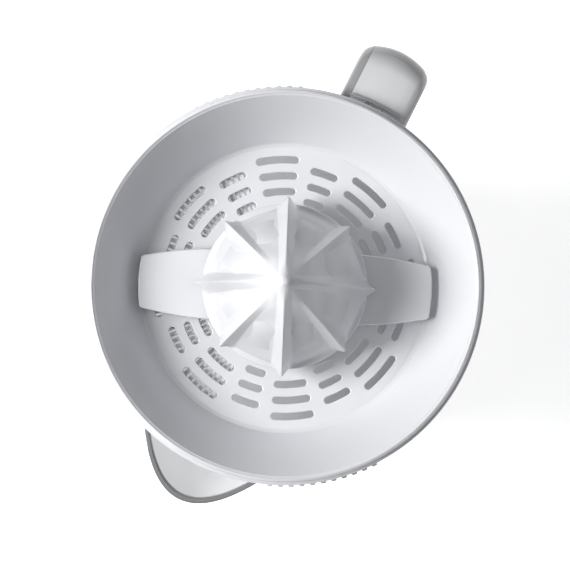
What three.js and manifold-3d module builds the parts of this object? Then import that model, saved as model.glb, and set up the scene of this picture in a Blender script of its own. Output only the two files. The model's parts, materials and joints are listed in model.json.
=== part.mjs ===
// Electric citrus press juicer: a base with motor and gearbox, a clear jug with spout and handle,
// a slotted sieve with a pulp selector nested under it, a wiper and two reamer cones on one drive axis.
// Millimetres, +Z up. The drive axis is the Z axis, the handle points along +X, the spout along -X,
// and the soles of the feet stand on Z = 0.

import * as THREE from "three";
import { mergeVertices } from "three/addons/utils/BufferGeometryUtils.js";
import Module from "manifold-3d";

const wasm = await Module();
wasm.setup();

// ---------------------------------------------------------------- driving dimensions

const GAP = 0.3; // smallest air gap between neighbouring pieces
const WALL = 2.2; // moulded wall of the housing and the jug
const TAP_R = 1.9; // hole for a housing screw
const BOSS_R = 4; // boss round such a hole

// Base
const BASE_R = 72; // housing radius at its foot
const DECK_Z = 74; // top face of the housing, which the jug stands over
const DECK_R = 63.6; // radius where the deck's rounded shoulder begins
const NECK_R = 11.5; // tube that carries the spindle up inside the jug's column
const NECK_BORE_R = 9.3;
const NECK_TOP = 99;
const NECK_HOLE_R = 5.2; // in the neck's cap, round the spindle
const HOUSING_FOOT = 2.2;
const CORD_NOTCH = [-4, 4]; // the cord's way out through the housing and the plate's rim
const CORD_NOTCH_TOP = 9;
const PLATE_R = 69; // bottom plate
const PLATE_Z = 3;
const RIM_INNER_R = 55; // cord store: the ring between drum and rim
const DRUM_R = 31;
const DRUM_FLANGE_R = 37;
const STORE_ROOF = 15;
const SKIN = 2.5; // bottom plate's wall
const FOOT_R = 5.5;
const FOOT_RING_R = 62;
const FOOT_ANGLES = [45, 135, 225, 315];
const PLATE_SCREW_ANGLES = [20, 160, 200, 340];
const GLAND_Y = -43;
const GLAND_R = 4.6;
const CORD_R = 3.3;

// Gear train: module, teeth, and the Z range of each wheel
const OUTPUT_TEETH = 60;
const IDLER_SMALL_TEETH = 12;
const IDLER_LARGE_TEETH = 48;
const MOTOR_TEETH = 12;
const OUTPUT_MODULE = 1;
const MOTOR_MODULE = 0.75;
const OUTPUT_GEAR_Z = [56, 61];
const IDLER_WHEEL_Z = [50.6, 54.9];
const IDLER_TOP = 61.4;
const MOTOR_PINION_Z = [50.3, 55.2];
const IDLER_DIST = (OUTPUT_MODULE * (OUTPUT_TEETH + IDLER_SMALL_TEETH)) / 2;
const MOTOR_DIST = (MOTOR_MODULE * (IDLER_LARGE_TEETH + MOTOR_TEETH)) / 2;
const IDLER_ANGLE = 90; // from the drive axis to the idler
const MOTOR_ANGLE = -30; // from the idler to the motor

// Gearbox and motor
const GEARBOX_R = 58;
const GEARBOX_FLOOR = [47.3, 49.8];
const GEARBOX_LID = [62.3, 64.5];
const GEARBOX_SCREW_R = 52;
const GEARBOX_SCREW_ANGLES = [30, 210, 330];
const MOTOR_R = 17;
const MOTOR_Z = [21, 46.9];
const MOTOR_SCREW_OFFSET = 9;
const MOTOR_SCREW_HOLE_R = 1.6;
const IDLER_PIN_R = 2;
const PIN_HOLE_R = 2.35;

// Spindle
const SPINDLE_R = 3.6;
const HEX_R = 4.6; // across the corners
const HEX_BORE_R = 5.1;
const SPINDLE_FOOT = 45.3;
const SWITCH_TOP = 42.2;
const LOWER_HEX_TOP = 68;
const COLLAR_Z = [78, 80];
const UPPER_HEX_Z = 130;
const SPINDLE_TOP = 150;
const HUB_TOP = 66.2;

// Jug
const JUG_FOOT = 74.6;
const JUG_RIM_Z = 161.2;
const JUG_RIM_R = 81;
const COLUMN_TOP = 138.5;
const SPOUT_REACH = 99; // from the drive axis to the tip of the spout's lip
const SPOUT_CURVE = 16.85; // the lip is a parabola in plan, and this is its radius at the tip
const SPOUT_ROOT_Z = 109.2;
const SPOUT_ROOT_REACH = 73;
const SPOUT_ROOT_CURVE = 9;
const SPOUT_BACK = 60; // the spout's solid ends here, inside the jug's wall
const SPOUT_WALL = 2.4;
const HANDLE_REACH = 111;
const HANDLE_WIDTH = 30.6;
const HANDLE_FLANGE = 3.6;
const HANDLE_FLANGE_DEPTH = 9;
const HANDLE_WEB = 2.5;
const HANDLE_BOTTOM = 90;
const HANDLE_END_CURVE = 27; // plan radius of its outer face

// Sieve
const SIEVE_FLOOR = 144; // top face
const SIEVE_FLOOR_R = 60.3;
const SIEVE_SKIN = 2;
const LIP_INNER_R = 79.1;
const LIP_R = 82.5;
const LIP_Z = 171.4;
const SLOT_WIDTH = 3;
const LONG_SLOTS = { angle: 29.9, half: 9.65, rows: [54.4, 47.6, 40.9] };
const SHORT_SLOTS = { angle: 52.4, half: 6.7, rows: [50.9, 44.1, 37.4] };
const SLOT_GROUPS = 8;

// Pulp selector: two grip arcs half a turn apart, a comb under one half of the sieve and open windows
// under the other, whose spokes lie below the sieve's plain sectors
const SELECTOR_FLOOR = [139.3, 141.3];
const GRIP_R = 83.4;
const GRIP_ARC = [20.6, 57.6];
const GRIP_TEETH = 7;
const GRIP_Z = [161.6, 165.6];
const FLANGE_R = 81.6;
const COMB_ARC = [44.7, 175.5];
const COMB_R = [34, 57.5];
const COMB_PITCH = 130.8 / 43;
const SPOKE_ANGLES = [42.6, 62.2];
const SPOKE_HALF = 2.1;

// Wiper and cones
const WIPER_TOP = 153;
const WIPER_SKIN = 2.4;
const WIPER_REACH = 61.7;
const WIPER_END_WIDTH = 22.5;
const WIPER_ROOT_WIDTH = 30.2;
const WIPER_AXIS = 114.3;
const CONE_BASE = 156;
const CONE_HEIGHT = 51.5;
const CONE_BASE_R = 34.5; // the plain band round its foot
const CONE_VALLEY_R = 33.6; // at the foot of a rib
const CONE_RIB_R = 37.9;
const CONE_TIP_R = 1.9;
const SMALL_CONE_R = 26.6;
const SMALL_CONE_RIB = 1.2;
const SMALL_CONE_RIBS = 8;
const SMALL_CONE_TOP = 195;

// ---------------------------------------------------------------- materials

const finish = (color, roughness, metalness = 0, opacity = 1) =>
  new THREE.MeshStandardMaterial({
    color,
    roughness,
    metalness,
    opacity,
    transparent: opacity < 1,
  });

const whiteGloss = () => finish(0xeef1f6, 0.22);
const whiteSatin = () => finish(0xe6e8ec, 0.45);
const clearSmoke = () => finish(0xb9bec4, 0.08, 0, 0.4);
const blackPlastic = () => finish(0x222326, 0.5);
const acetal = () => finish(0xf2efe6, 0.4);
const softRubber = () => finish(0x3a3b3d, 0.8);
const steel = () => finish(0xb4b7bb, 0.3, 1);
const zincPlate = () => finish(0x8d9196, 0.4, 1);
const bronze = () => finish(0xa9824a, 0.45, 1);

// ---------------------------------------------------------------- solid helpers

const rad = (degrees) => (degrees * Math.PI) / 180;
const polar = (r, degrees) => [r * Math.cos(rad(degrees)), r * Math.sin(rad(degrees))];

// A closed three.js geometry as a solid that can be joined and cut.
function solid(geometry) {
  const bare = geometry.clone();
  bare.deleteAttribute("normal");
  bare.deleteAttribute("uv");
  const merged = mergeVertices(bare, 1e-4);
  return new wasm.Manifold(
    new wasm.Mesh({
      numProp: 3,
      vertProperties: new Float32Array(merged.attributes.position.array),
      triVerts: new Uint32Array(merged.index.array),
    }),
  );
}

const join = (first, ...rest) => rest.reduce((all, one) => all.add(one), first);
const cut = (first, ...rest) => rest.reduce((left, one) => left.subtract(one), first);

// Outline points (radius, height) turned round the Z axis. The outline closes on itself, or starts and
// ends on the axis; it may be given in either direction.
function turned(points, segments = 28) {
  const onAxis = points[0][0] === 0;
  const loop = onAxis ? points : [...points, points[0]];
  const area = loop.reduce((sum, [r, z], i) => {
    const [r1, z1] = loop[(i + 1) % loop.length];
    return sum + r * z1 - r1 * z;
  }, 0);
  const ordered = area > 0 ? loop : [...loop].reverse();
  const profile = ordered.map(([r, z]) => new THREE.Vector2(r, z));
  return new THREE.LatheGeometry(profile, segments).rotateX(Math.PI / 2);
}

const lathe = (points, segments) => solid(turned(points, segments));

// A cylinder or regular prism standing on the XY plane at (x, y), from z0 to z1.
function post(r, z0, z1, { x = 0, y = 0, sides = 16, turn = 0, topR = r } = {}) {
  return solid(
    new THREE.CylinderGeometry(topR, r, z1 - z0, sides)
      .rotateX(Math.PI / 2)
      .rotateZ(rad(turn))
      .translate(x, y, (z0 + z1) / 2),
  );
}

function block([x0, x1], [y0, y1], [z0, z1]) {
  return solid(
    new THREE.BoxGeometry(x1 - x0, y1 - y0, z1 - z0).translate(
      (x0 + x1) / 2,
      (y0 + y1) / 2,
      (z0 + z1) / 2,
    ),
  );
}

// A flat outline in the XY plane, raised from z0 to z1.
function plate(shape, z0, z1, curveSegments = 8) {
  return solid(
    new THREE.ExtrudeGeometry(shape, {
      depth: z1 - z0,
      bevelEnabled: false,
      curveSegments,
    }).translate(0, 0, z0),
  );
}

// A flat outline in the XZ plane, given thickness from y0 to y1.
function standingPlate(shape, y0, y1, curveSegments = 5) {
  return solid(
    new THREE.ExtrudeGeometry(shape, {
      depth: y1 - y0,
      bevelEnabled: false,
      curveSegments,
    })
      .rotateX(Math.PI / 2)
      .translate(0, y1, 0),
  );
}

// A ring sector with square ends.
function sector(r0, r1, from, to, z0, z1, curveSegments = 6) {
  const shape = new THREE.Shape();
  shape.absarc(0, 0, r1, rad(from), rad(to), false);
  shape.absarc(0, 0, r0, rad(to), rad(from), true);
  return plate(shape, z0, z1, curveSegments);
}

function geometryOf(body) {
  const mesh = body.getMesh();
  const count = mesh.numVert;
  const positions = new Float32Array(count * 3);
  for (let i = 0; i < count; i += 1)
    positions.set(mesh.vertProperties.subarray(i * mesh.numProp, i * mesh.numProp + 3), i * 3);
  const geometry = new THREE.BufferGeometry();
  geometry.setAttribute("position", new THREE.BufferAttribute(positions, 3));
  geometry.setIndex(new THREE.BufferAttribute(new Uint32Array(mesh.triVerts), 1));
  geometry.computeVertexNormals();
  return geometry;
}

function named(name, body, material, position = [0, 0, 0]) {
  const mesh = new THREE.Mesh(geometryOf(body), material);
  mesh.name = name;
  mesh.position.set(...position);
  return mesh;
}

function groupOf(...members) {
  const group = new THREE.Group();
  group.add(...members.flat());
  return group;
}

// A pan-head screw along Z: the head's underside is at z = 0 and the shank runs up.
function screw(headR, headHeight, shankR, length) {
  return lathe(
    [
      [0, -headHeight],
      [headR * 0.8, -headHeight],
      [headR, -headHeight * 0.6],
      [headR, 0],
      [shankR, 0],
      [shankR, length],
      [0, length],
    ],
    10,
  );
}

// ---------------------------------------------------------------- base

function baseHousing() {
  const shoulder = [0, 22.5, 45, 67.5, 90].map((a) => {
    const [dr, dz] = polar(5, a);
    return [DECK_R + dr, DECK_Z - 5 + dz];
  });
  const shell = lathe([
    [BASE_R, HOUSING_FOOT],
    [BASE_R - 0.4, 12],
    [BASE_R - 1.7, 36],
    [BASE_R - 3, 58],
    ...shoulder,
    [NECK_R + 2.4, DECK_Z],
    [NECK_R + 0.5, DECK_Z + 1.5],
    [NECK_R, DECK_Z + 6],
    [NECK_R, NECK_TOP - 1],
    [NECK_R - 1, NECK_TOP],
    [NECK_HOLE_R, NECK_TOP],
    [NECK_HOLE_R, NECK_TOP - 2],
    [NECK_BORE_R, NECK_TOP - 2],
    [NECK_BORE_R, DECK_Z - WALL],
    [DECK_R, DECK_Z - WALL],
    [DECK_R + 2.8, DECK_Z - 5],
    [BASE_R - 3 - WALL, 58],
    [BASE_R - 0.4 - WALL, 12],
    [BASE_R - WALL, HOUSING_FOOT],
  ]);
  const parts = [];
  const holes = [];
  for (const angle of PLATE_SCREW_ANGLES) {
    const [x, y] = polar(FOOT_RING_R, angle);
    const rib = block([FOOT_RING_R, BASE_R - 1.5], [-1, 1], [8, 22]).rotate([0, 0, angle]);
    parts.push(post(BOSS_R, 7.4, 22, { x, y, sides: 12 }), rib);
    holes.push(post(TAP_R, 7, 20, { x, y, sides: 10 }));
  }
  for (const angle of GEARBOX_SCREW_ANGLES) {
    const [x, y] = polar(GEARBOX_SCREW_R, angle);
    parts.push(post(BOSS_R, GEARBOX_LID[1] + GAP, DECK_Z - 1, { x, y, sides: 12 }));
    holes.push(post(TAP_R, GEARBOX_LID[1], DECK_Z - WALL, { x, y, sides: 10 }));
  }
  const cordNotch = block(CORD_NOTCH, [-BASE_R - 2, -BASE_R + 6], [0, CORD_NOTCH_TOP]);
  return cut(join(shell, ...parts), ...holes, cordNotch);
}

function basePlate() {
  const body = lathe([
    [0, 0],
    [DRUM_FLANGE_R, 0],
    [DRUM_FLANGE_R, 1.8],
    [DRUM_R, 1.8],
    [DRUM_R, STORE_ROOF],
    [RIM_INNER_R, STORE_ROOF],
    [RIM_INNER_R, PLATE_Z],
    [PLATE_R, PLATE_Z],
    [PLATE_R, 7],
    [RIM_INNER_R + SKIN, 7],
    [RIM_INNER_R + SKIN, STORE_ROOF + SKIN],
    [DRUM_R - SKIN, STORE_ROOF + SKIN],
    [DRUM_R - SKIN, SKIN],
    [0, SKIN],
  ]);
  const holes = PLATE_SCREW_ANGLES.flatMap((angle) => {
    const [x, y] = polar(FOOT_RING_R, angle);
    return [
      post(3.8, 2, 5.2, { x, y, sides: 12 }),
      post(TAP_R, 5, 8, { x, y, sides: 10 }),
    ];
  });
  const glandHole = post(GLAND_R + GAP, 14, 19, { y: GLAND_Y, sides: 16 });
  const cordNotch = block(CORD_NOTCH, [-PLATE_R - 2, -RIM_INNER_R + 1], [0, CORD_NOTCH_TOP]);
  return cut(body, ...holes, glandHole, cordNotch);
}

function basePieces() {
  const feet = FOOT_ANGLES.map((angle, i) =>
    named(
      `foot_${i + 1}`,
      lathe(
        [
          [0, 0],
          [FOOT_R - 0.8, 0],
          [FOOT_R, 0.8],
          [FOOT_R, PLATE_Z - GAP],
          [0, PLATE_Z - GAP],
        ],
        16,
      ),
      softRubber(),
      [...polar(FOOT_RING_R, angle), 0],
    ),
  );
  const screws = PLATE_SCREW_ANGLES.map((angle, i) =>
    named(`plate_screw_${i + 1}`, screw(3.3, 1.5, 1.5, 13), zincPlate(), [
      ...polar(FOOT_RING_R, angle),
      4.9,
    ]),
  );
  const gland = lathe(
    [
      [CORD_R, 0],
      [GLAND_R + 1.6, 0],
      [GLAND_R + 1.6, 1.2],
      [GLAND_R, 1.2],
      [GLAND_R, 6.4],
      [CORD_R, 6.4],
    ],
    16,
  );
  return [
    named("base_housing", baseHousing(), whiteGloss()),
    named("base_plate", basePlate(), whiteSatin()),
    ...feet,
    ...screws,
    named("cord_gland", gland, blackPlastic(), [0, GLAND_Y, 13.4]),
  ];
}

// ---------------------------------------------------------------- gears and motor

// A spur gear outline: straight-flanked teeth, the first tooth centred on +X.
function gearShape(teeth, module) {
  const pitchR = (teeth * module) / 2;
  const rootR = pitchR - 1.25 * module;
  const tipR = pitchR + module;
  const pitch = 360 / teeth;
  const rootHalf = pitch * 0.3;
  const tipHalf = pitch * 0.11;
  const points = [];
  for (let i = 0; i < teeth; i += 1) {
    const a = i * pitch;
    points.push(
      polar(rootR, a - rootHalf),
      polar(tipR, a - tipHalf),
      polar(tipR, a + tipHalf),
      polar(rootR, a + rootHalf),
    );
  }
  return new THREE.Shape(points.map(([x, y]) => new THREE.Vector2(x, y)));
}

const idlerPlace = polar(IDLER_DIST, IDLER_ANGLE);
const motorPlace = polar(MOTOR_DIST, MOTOR_ANGLE).map((v, i) => v + idlerPlace[i]);

function outputGear() {
  const wheel = plate(gearShape(OUTPUT_TEETH, OUTPUT_MODULE), ...OUTPUT_GEAR_Z);
  const hub = post(9, 50.2, HUB_TOP, { sides: 24 });
  const journal = post(7, 47.6, 50.4, { sides: 24 });
  const bore = post(HEX_BORE_R, 47, HUB_TOP + 1, { sides: 6 });
  return cut(join(wheel, hub, journal), bore);
}

function idlerGear() {
  const large = plate(gearShape(IDLER_LARGE_TEETH, MOTOR_MODULE), ...IDLER_WHEEL_Z).rotate([
    0, 0, MOTOR_ANGLE,
  ]);
  const halfTooth = 180 / IDLER_SMALL_TEETH;
  const small = plate(
    gearShape(IDLER_SMALL_TEETH, OUTPUT_MODULE),
    IDLER_WHEEL_Z[1] - 0.2,
    IDLER_TOP,
  ).rotate([0, 0, IDLER_ANGLE + 180 + halfTooth]);
  const bore = post(2.4, 50, IDLER_TOP + 1, { sides: 14 });
  return cut(join(large, small), bore);
}

function motorPinion() {
  const halfTooth = 180 / MOTOR_TEETH;
  const gear = plate(gearShape(MOTOR_TEETH, MOTOR_MODULE), ...MOTOR_PINION_Z).rotate([
    0, 0, MOTOR_ANGLE + 180 + halfTooth,
  ]);
  return join(gear, post(1.5, MOTOR_Z[1] + GAP, MOTOR_PINION_Z[0] + 0.2, { sides: 12 }));
}

function motorScrewPlaces() {
  return [-1, 1].map((side) => {
    const [dx, dy] = polar(MOTOR_SCREW_OFFSET * side, MOTOR_ANGLE + 90);
    return [motorPlace[0] + dx, motorPlace[1] + dy];
  });
}

function motorCan() {
  const [x, y] = motorPlace;
  const can = lathe(
    [
      [0, MOTOR_Z[0]],
      [MOTOR_R - 1, MOTOR_Z[0]],
      [MOTOR_R, MOTOR_Z[0] + 1],
      [MOTOR_R, MOTOR_Z[1] - 1.5],
      [MOTOR_R - 1.5, MOTOR_Z[1]],
      [0, MOTOR_Z[1]],
    ],
    20,
  ).translate([x, y, 0]);
  const taps = motorScrewPlaces().map(([sx, sy]) =>
    post(MOTOR_SCREW_HOLE_R, 41, MOTOR_Z[1] + 1, { x: sx, y: sy, sides: 8 }),
  );
  return cut(can, ...taps);
}

function gearboxFloor() {
  const disc = post(GEARBOX_R, ...GEARBOX_FLOOR, { sides: 32 });
  const switchPosts = [-1, 1].map((side) =>
    block(side > 0 ? [10.3, 12.8] : [-12.8, -10.3], [-3, 3], [34, GEARBOX_FLOOR[0] + 0.5]),
  );
  const [z0, z1] = [GEARBOX_FLOOR[0] - 1, GEARBOX_FLOOR[1] + 1];
  const holes = [
    post(7.4, z0, z1, { sides: 24 }),
    post(PIN_HOLE_R, z0, z1, { x: idlerPlace[0], y: idlerPlace[1], sides: 14 }),
    post(2.2, z0, z1, { x: motorPlace[0], y: motorPlace[1], sides: 12 }),
    ...motorScrewPlaces().map(([x, y]) => post(MOTOR_SCREW_HOLE_R, z0, z1, { x, y, sides: 8 })),
    ...GEARBOX_SCREW_ANGLES.map((angle) => {
      const [x, y] = polar(GEARBOX_SCREW_R, angle);
      return post(TAP_R, z0, z1, { x, y, sides: 10 });
    }),
  ];
  return cut(join(disc, ...switchPosts), ...holes);
}

function gearboxCover() {
  const shell = lathe([
    [9.4, GEARBOX_LID[0]],
    [GEARBOX_R - 2.5, GEARBOX_LID[0]],
    [GEARBOX_R - 2.5, GEARBOX_FLOOR[1] + GAP],
    [GEARBOX_R, GEARBOX_FLOOR[1] + GAP],
    [GEARBOX_R, GEARBOX_LID[1]],
    [9.4, GEARBOX_LID[1]],
  ]);
  const [z0, z1] = [GEARBOX_LID[0] - 1, GEARBOX_LID[1] + 1];
  const holes = [
    post(PIN_HOLE_R, z0, z1, { x: idlerPlace[0], y: idlerPlace[1], sides: 14 }),
    ...GEARBOX_SCREW_ANGLES.map((angle) => {
      const [x, y] = polar(GEARBOX_SCREW_R, angle);
      return post(TAP_R, z0, z1, { x, y, sides: 10 });
    }),
  ];
  return cut(shell, ...holes);
}

function drivePieces() {
  const gearboxScrews = GEARBOX_SCREW_ANGLES.map((angle, i) =>
    named(`gearbox_screw_${i + 1}`, screw(3.2, 2, 1.5, 23.5), zincPlate(), [
      ...polar(GEARBOX_SCREW_R, angle),
      GEARBOX_FLOOR[0] - GAP,
    ]),
  );
  const motorScrews = motorScrewPlaces().map(([x, y], i) =>
    named(
      `motor_screw_${i + 1}`,
      screw(2.2, 1.3, 1.2, 8).rotate([180, 0, 0]),
      zincPlate(),
      [x, y, GEARBOX_FLOOR[1] + GAP],
    ),
  );
  const endCap = lathe(
    [
      [0, 0.6],
      [4, 0.6],
      [4, 0],
      [7, 0],
      [7, 0.6],
      [MOTOR_R - 1.5, 0.6],
      [MOTOR_R, 1.4],
      [MOTOR_R, 2.7],
      [0, 2.7],
    ],
    20,
  );
  return groupOf(
    named("gearbox_floor", gearboxFloor(), blackPlastic()),
    named("gearbox_cover", gearboxCover(), blackPlastic()),
    gearboxScrews,
    named("motor_can", motorCan(), steel()),
    named("motor_end_cap", endCap, blackPlastic(), [...motorPlace, 18]),
    motorScrews,
    named("motor_pinion", motorPinion(), bronze(), [...motorPlace, 0]),
    named("idler_gear", idlerGear(), acetal(), [...idlerPlace, 0]),
    named("idler_pin", post(IDLER_PIN_R, 47.6, 64.2, { sides: 14 }), steel(), [...idlerPlace, 0]),
    named("output_gear", outputGear(), acetal()),
  );
}

// ---------------------------------------------------------------- spindle and switch

// The spindle slides in the output gear's hexagonal bore and drives the cones by its top hexagon.
function driveSpindle() {
  return join(
    post(2.8, SPINDLE_FOOT, SPINDLE_FOOT + 1.2, { sides: 12 }),
    post(HEX_R, SPINDLE_FOOT + 1, LOWER_HEX_TOP, { sides: 6 }),
    post(SPINDLE_R, LOWER_HEX_TOP - 0.5, UPPER_HEX_Z + 0.5, { sides: 16 }),
    post(6.4, ...COLLAR_Z, { sides: 16 }),
    post(HEX_R, UPPER_HEX_Z, SPINDLE_TOP - 1.5, { sides: 6 }),
    post(HEX_R, SPINDLE_TOP - 1.6, SPINDLE_TOP, { sides: 6, topR: 3.2 }),
  );
}

class Helix extends THREE.Curve {
  constructor(radius, height, turns) {
    super();
    Object.assign(this, { radius, height, turns });
  }

  getPoint(t, target = new THREE.Vector3()) {
    const a = t * this.turns * Math.PI * 2;
    return target.set(this.radius * Math.cos(a), this.radius * Math.sin(a), this.height * t);
  }
}

function spindleSpring() {
  const wireR = 0.55;
  const wire = new THREE.Shape(
    Array.from({ length: 6 }, (_, i) => new THREE.Vector2(...polar(wireR, i * 60))),
  );
  const bottom = HUB_TOP + GAP + wireR;
  const height = COLLAR_Z[0] - GAP - wireR - bottom;
  return solid(
    new THREE.ExtrudeGeometry(wire, {
      steps: 45,
      bevelEnabled: false,
      extrudePath: new Helix(5.6, height, 4.5),
    }).translate(0, 0, bottom),
  );
}

function spindleBush() {
  return lathe(
    [
      [3.95, 84],
      [NECK_BORE_R - GAP, 84],
      [NECK_BORE_R - GAP, NECK_TOP - 2 - GAP],
      [3.95, NECK_TOP - 2 - GAP],
    ],
    16,
  );
}

function spindleSeal() {
  const base = NECK_TOP + GAP;
  return lathe(
    [
      [4.2, base + 0.8],
      [5.4, base],
      [8.6, base],
      [9.2, base + 1],
      [6.4, base + 1.6],
      [4.2, base + 3],
    ],
    16,
  );
}

function microSwitch() {
  const body = block([-9.9, 9.9], [-3.2, 3.2], [32, SWITCH_TOP]);
  const well = block([-1.7, 1.7], [-1.9, 1.9], [SWITCH_TOP - 6, SWITCH_TOP + 1]);
  const terminals = [-7, 0, 7].map((x) => block([x - 1.2, x + 1.2], [-0.4, 0.4], [28, 32.5]));
  return cut(join(body, ...terminals), well);
}

function spindlePieces() {
  return groupOf(
    named("drive_spindle", driveSpindle(), steel()),
    named("spindle_spring", spindleSpring(), steel()),
    named("spindle_bush", spindleBush(), bronze()),
    named("spindle_seal", spindleSeal(), softRubber()),
    named("micro_switch", microSwitch(), blackPlastic()),
    named(
      "switch_plunger",
      block([-1.3, 1.3], [-1.5, 1.5], [SWITCH_TOP - 3, SPINDLE_FOOT - GAP]),
      acetal(),
    ),
  );
}

// ---------------------------------------------------------------- jug

// The spout as a solid between a small parabola at its root and the lip's own, `inset` inside its
// outer face and carried on `lift` above the rim.
function spoutSolid(inset, lift) {
  const height = JUG_RIM_Z - SPOUT_ROOT_Z;
  const points = 7;
  const level = (share) => {
    const reach = SPOUT_ROOT_REACH + (SPOUT_REACH - SPOUT_ROOT_REACH) * share - inset;
    const lipCurve = SPOUT_ROOT_CURVE + (SPOUT_CURVE - SPOUT_ROOT_CURVE) * share;
    const curve = lipCurve * (1 - 0.03 * inset);
    const half = Math.sqrt(2 * curve * (reach - SPOUT_BACK));
    return Array.from({ length: 2 * points + 1 }, (_, i) => {
      const y = half * (i / points - 1);
      return [(y * y) / (2 * curve) - reach, y, SPOUT_ROOT_Z + height * share];
    });
  };
  return wasm.Manifold.hull([...level(0), ...level(1 + lift / height)]);
}

// The handle's side outline, drawn `inset` inside its outer edge and joined to the jug's wall.
function handleOutline(inset) {
  const top = JUG_RIM_Z - inset;
  const bottom = HANDLE_BOTTOM + inset;
  const outerX = HANDLE_REACH - inset;
  const corner = Math.max(10 - inset, 2.5);
  const lean = 3;
  const shape = new THREE.Shape();
  shape.moveTo(66, top);
  shape.lineTo(outerX - corner, top);
  shape.quadraticCurveTo(outerX, top, outerX, top - corner);
  shape.lineTo(outerX - lean, bottom + corner);
  shape.quadraticCurveTo(outerX - lean, bottom, outerX - lean - corner, bottom);
  shape.lineTo(66, bottom);
  shape.closePath();
  return shape;
}

// A strap bent round from the rim to the foot of the wall: an outer web with a flange along each edge.
function jugHandle() {
  const half = HANDLE_WIDTH / 2;
  const web = cut(
    standingPlate(handleOutline(0), -half, half),
    standingPlate(handleOutline(HANDLE_WEB), -half - 1, half + 1),
  );
  const flanges = [-1, 1].map((side) => {
    const y = side > 0 ? [half - HANDLE_FLANGE, half] : [-half, HANDLE_FLANGE - half];
    return cut(
      standingPlate(handleOutline(0), ...y),
      standingPlate(handleOutline(HANDLE_FLANGE_DEPTH), y[0] - 1, y[1] + 1),
    );
  });
  const plan = new THREE.Shape();
  const rootX = 60;
  const cornerR = 3.2;
  const cornerEase = 0.8;
  const bowAt = (y) => HANDLE_REACH - (y * y) / (2 * HANDLE_END_CURVE);
  const cornerX = bowAt(half - cornerR);
  plan.moveTo(rootX, -half);
  plan.lineTo(cornerX - cornerR, -half);
  plan.quadraticCurveTo(cornerX - cornerEase, -half, cornerX, cornerR - half);
  plan.quadraticCurveTo(2 * HANDLE_REACH - cornerX, 0, cornerX, half - cornerR);
  plan.quadraticCurveTo(cornerX - cornerEase, half, cornerX - cornerR, half);
  plan.lineTo(rootX, half);
  plan.closePath();
  const insidePlan = plate(plan, 80, 170, 5);
  const outerWall = cut(insidePlan, insidePlan.translate([-HANDLE_WEB, 0, 0])).intersect(
    standingPlate(handleOutline(0), -half, half),
  );
  return join(join(web, ...flanges).intersect(insidePlan), outerWall);
}

function jug() {
  const outer = lathe(
    [
      [0, JUG_FOOT],
      [64.5, JUG_FOOT],
      [67.6, 76],
      [69, 79.5],
      [72.5, 105],
      [76.5, 140],
      [79.2, 155.5],
      [JUG_RIM_R, 158.2],
      [JUG_RIM_R, JUG_RIM_Z],
      [0, JUG_RIM_Z],
    ],
    36,
  );
  const inner = lathe(
    [
      [0, 77.2],
      [62.5, 77.2],
      [65.4, 78.2],
      [66.9, 80.6],
      [70.3, 105],
      [74.3, 140],
      [76.9, 155],
      [JUG_RIM_R - 2.2, 158.6],
      [JUG_RIM_R - 2.2, JUG_RIM_Z + 2],
      [0, JUG_RIM_Z + 2],
    ],
    36,
  );
  const column = lathe(
    [
      [14.9, JUG_FOOT],
      [19, JUG_FOOT],
      [18.6, 77.4],
      [17, 79.5],
      [15, COLUMN_TOP - 0.6],
      [14.4, COLUMN_TOP],
      [12.9, COLUMN_TOP],
    ],
    24,
  );
  const columnBore = post(14.9, JUG_FOOT - 1, JUG_FOOT + 5, { sides: 24 });
  const spoutOuter = spoutSolid(0, 0);
  const spoutInner = spoutSolid(SPOUT_WALL, 2);
  const insideWall = lathe([
    [0, 60],
    [70, 60],
    [78.5, JUG_RIM_Z],
    [78.5, 180],
    [0, 180],
  ]);
  const grip = cut(jugHandle(), insideWall);
  const shell = cut(join(outer, spoutOuter, grip), inner, spoutInner, columnBore);
  const padZ = [160.6, 163.4];
  const locator = join(
    block([84.4, 85.4], [-6, 6], padZ),
    ...[-4.4, -1.5, 1.5, 4.4].map((y) => block([82.3, 84.6], [y - 0.45, y + 0.45], padZ)),
  );
  return join(shell, column, locator);
}

// ---------------------------------------------------------------- sieve and pulp selector

// One drain slot: an arc of constant width with round ends, centred on the angle `at`.
function slotShape(r, half, at) {
  const end = SLOT_WIDTH / 2;
  const reach = half - (end / r) * (180 / Math.PI);
  const along = [-1, 0, 1].map((s) => s * reach);
  const roundEnd = (angle, turns) =>
    turns.map((t) => {
      const [x, y] = polar(r, angle);
      const [dx, dy] = polar(end, angle + t);
      return [x + dx, y + dy];
    });
  const outline = [
    ...along.map((a) => polar(r + end, at + a)),
    ...roundEnd(at + reach, [90]),
    ...along.reverse().map((a) => polar(r - end, at + a)),
    ...roundEnd(at - reach, [270]),
  ];
  return new THREE.Shape(outline.map(([x, y]) => new THREE.Vector2(x, y)));
}

function drainSlots() {
  const slots = [];
  for (const { angle, half, rows } of [LONG_SLOTS, SHORT_SLOTS])
    for (let group = 0; group < SLOT_GROUPS; group += 1)
      for (const r of rows) {
        const at = angle + (group * 360) / SLOT_GROUPS;
        slots.push(plate(slotShape(r, half, at), SIEVE_FLOOR - SIEVE_SKIN - 1, SIEVE_FLOOR + 1));
      }
  return slots;
}

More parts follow.
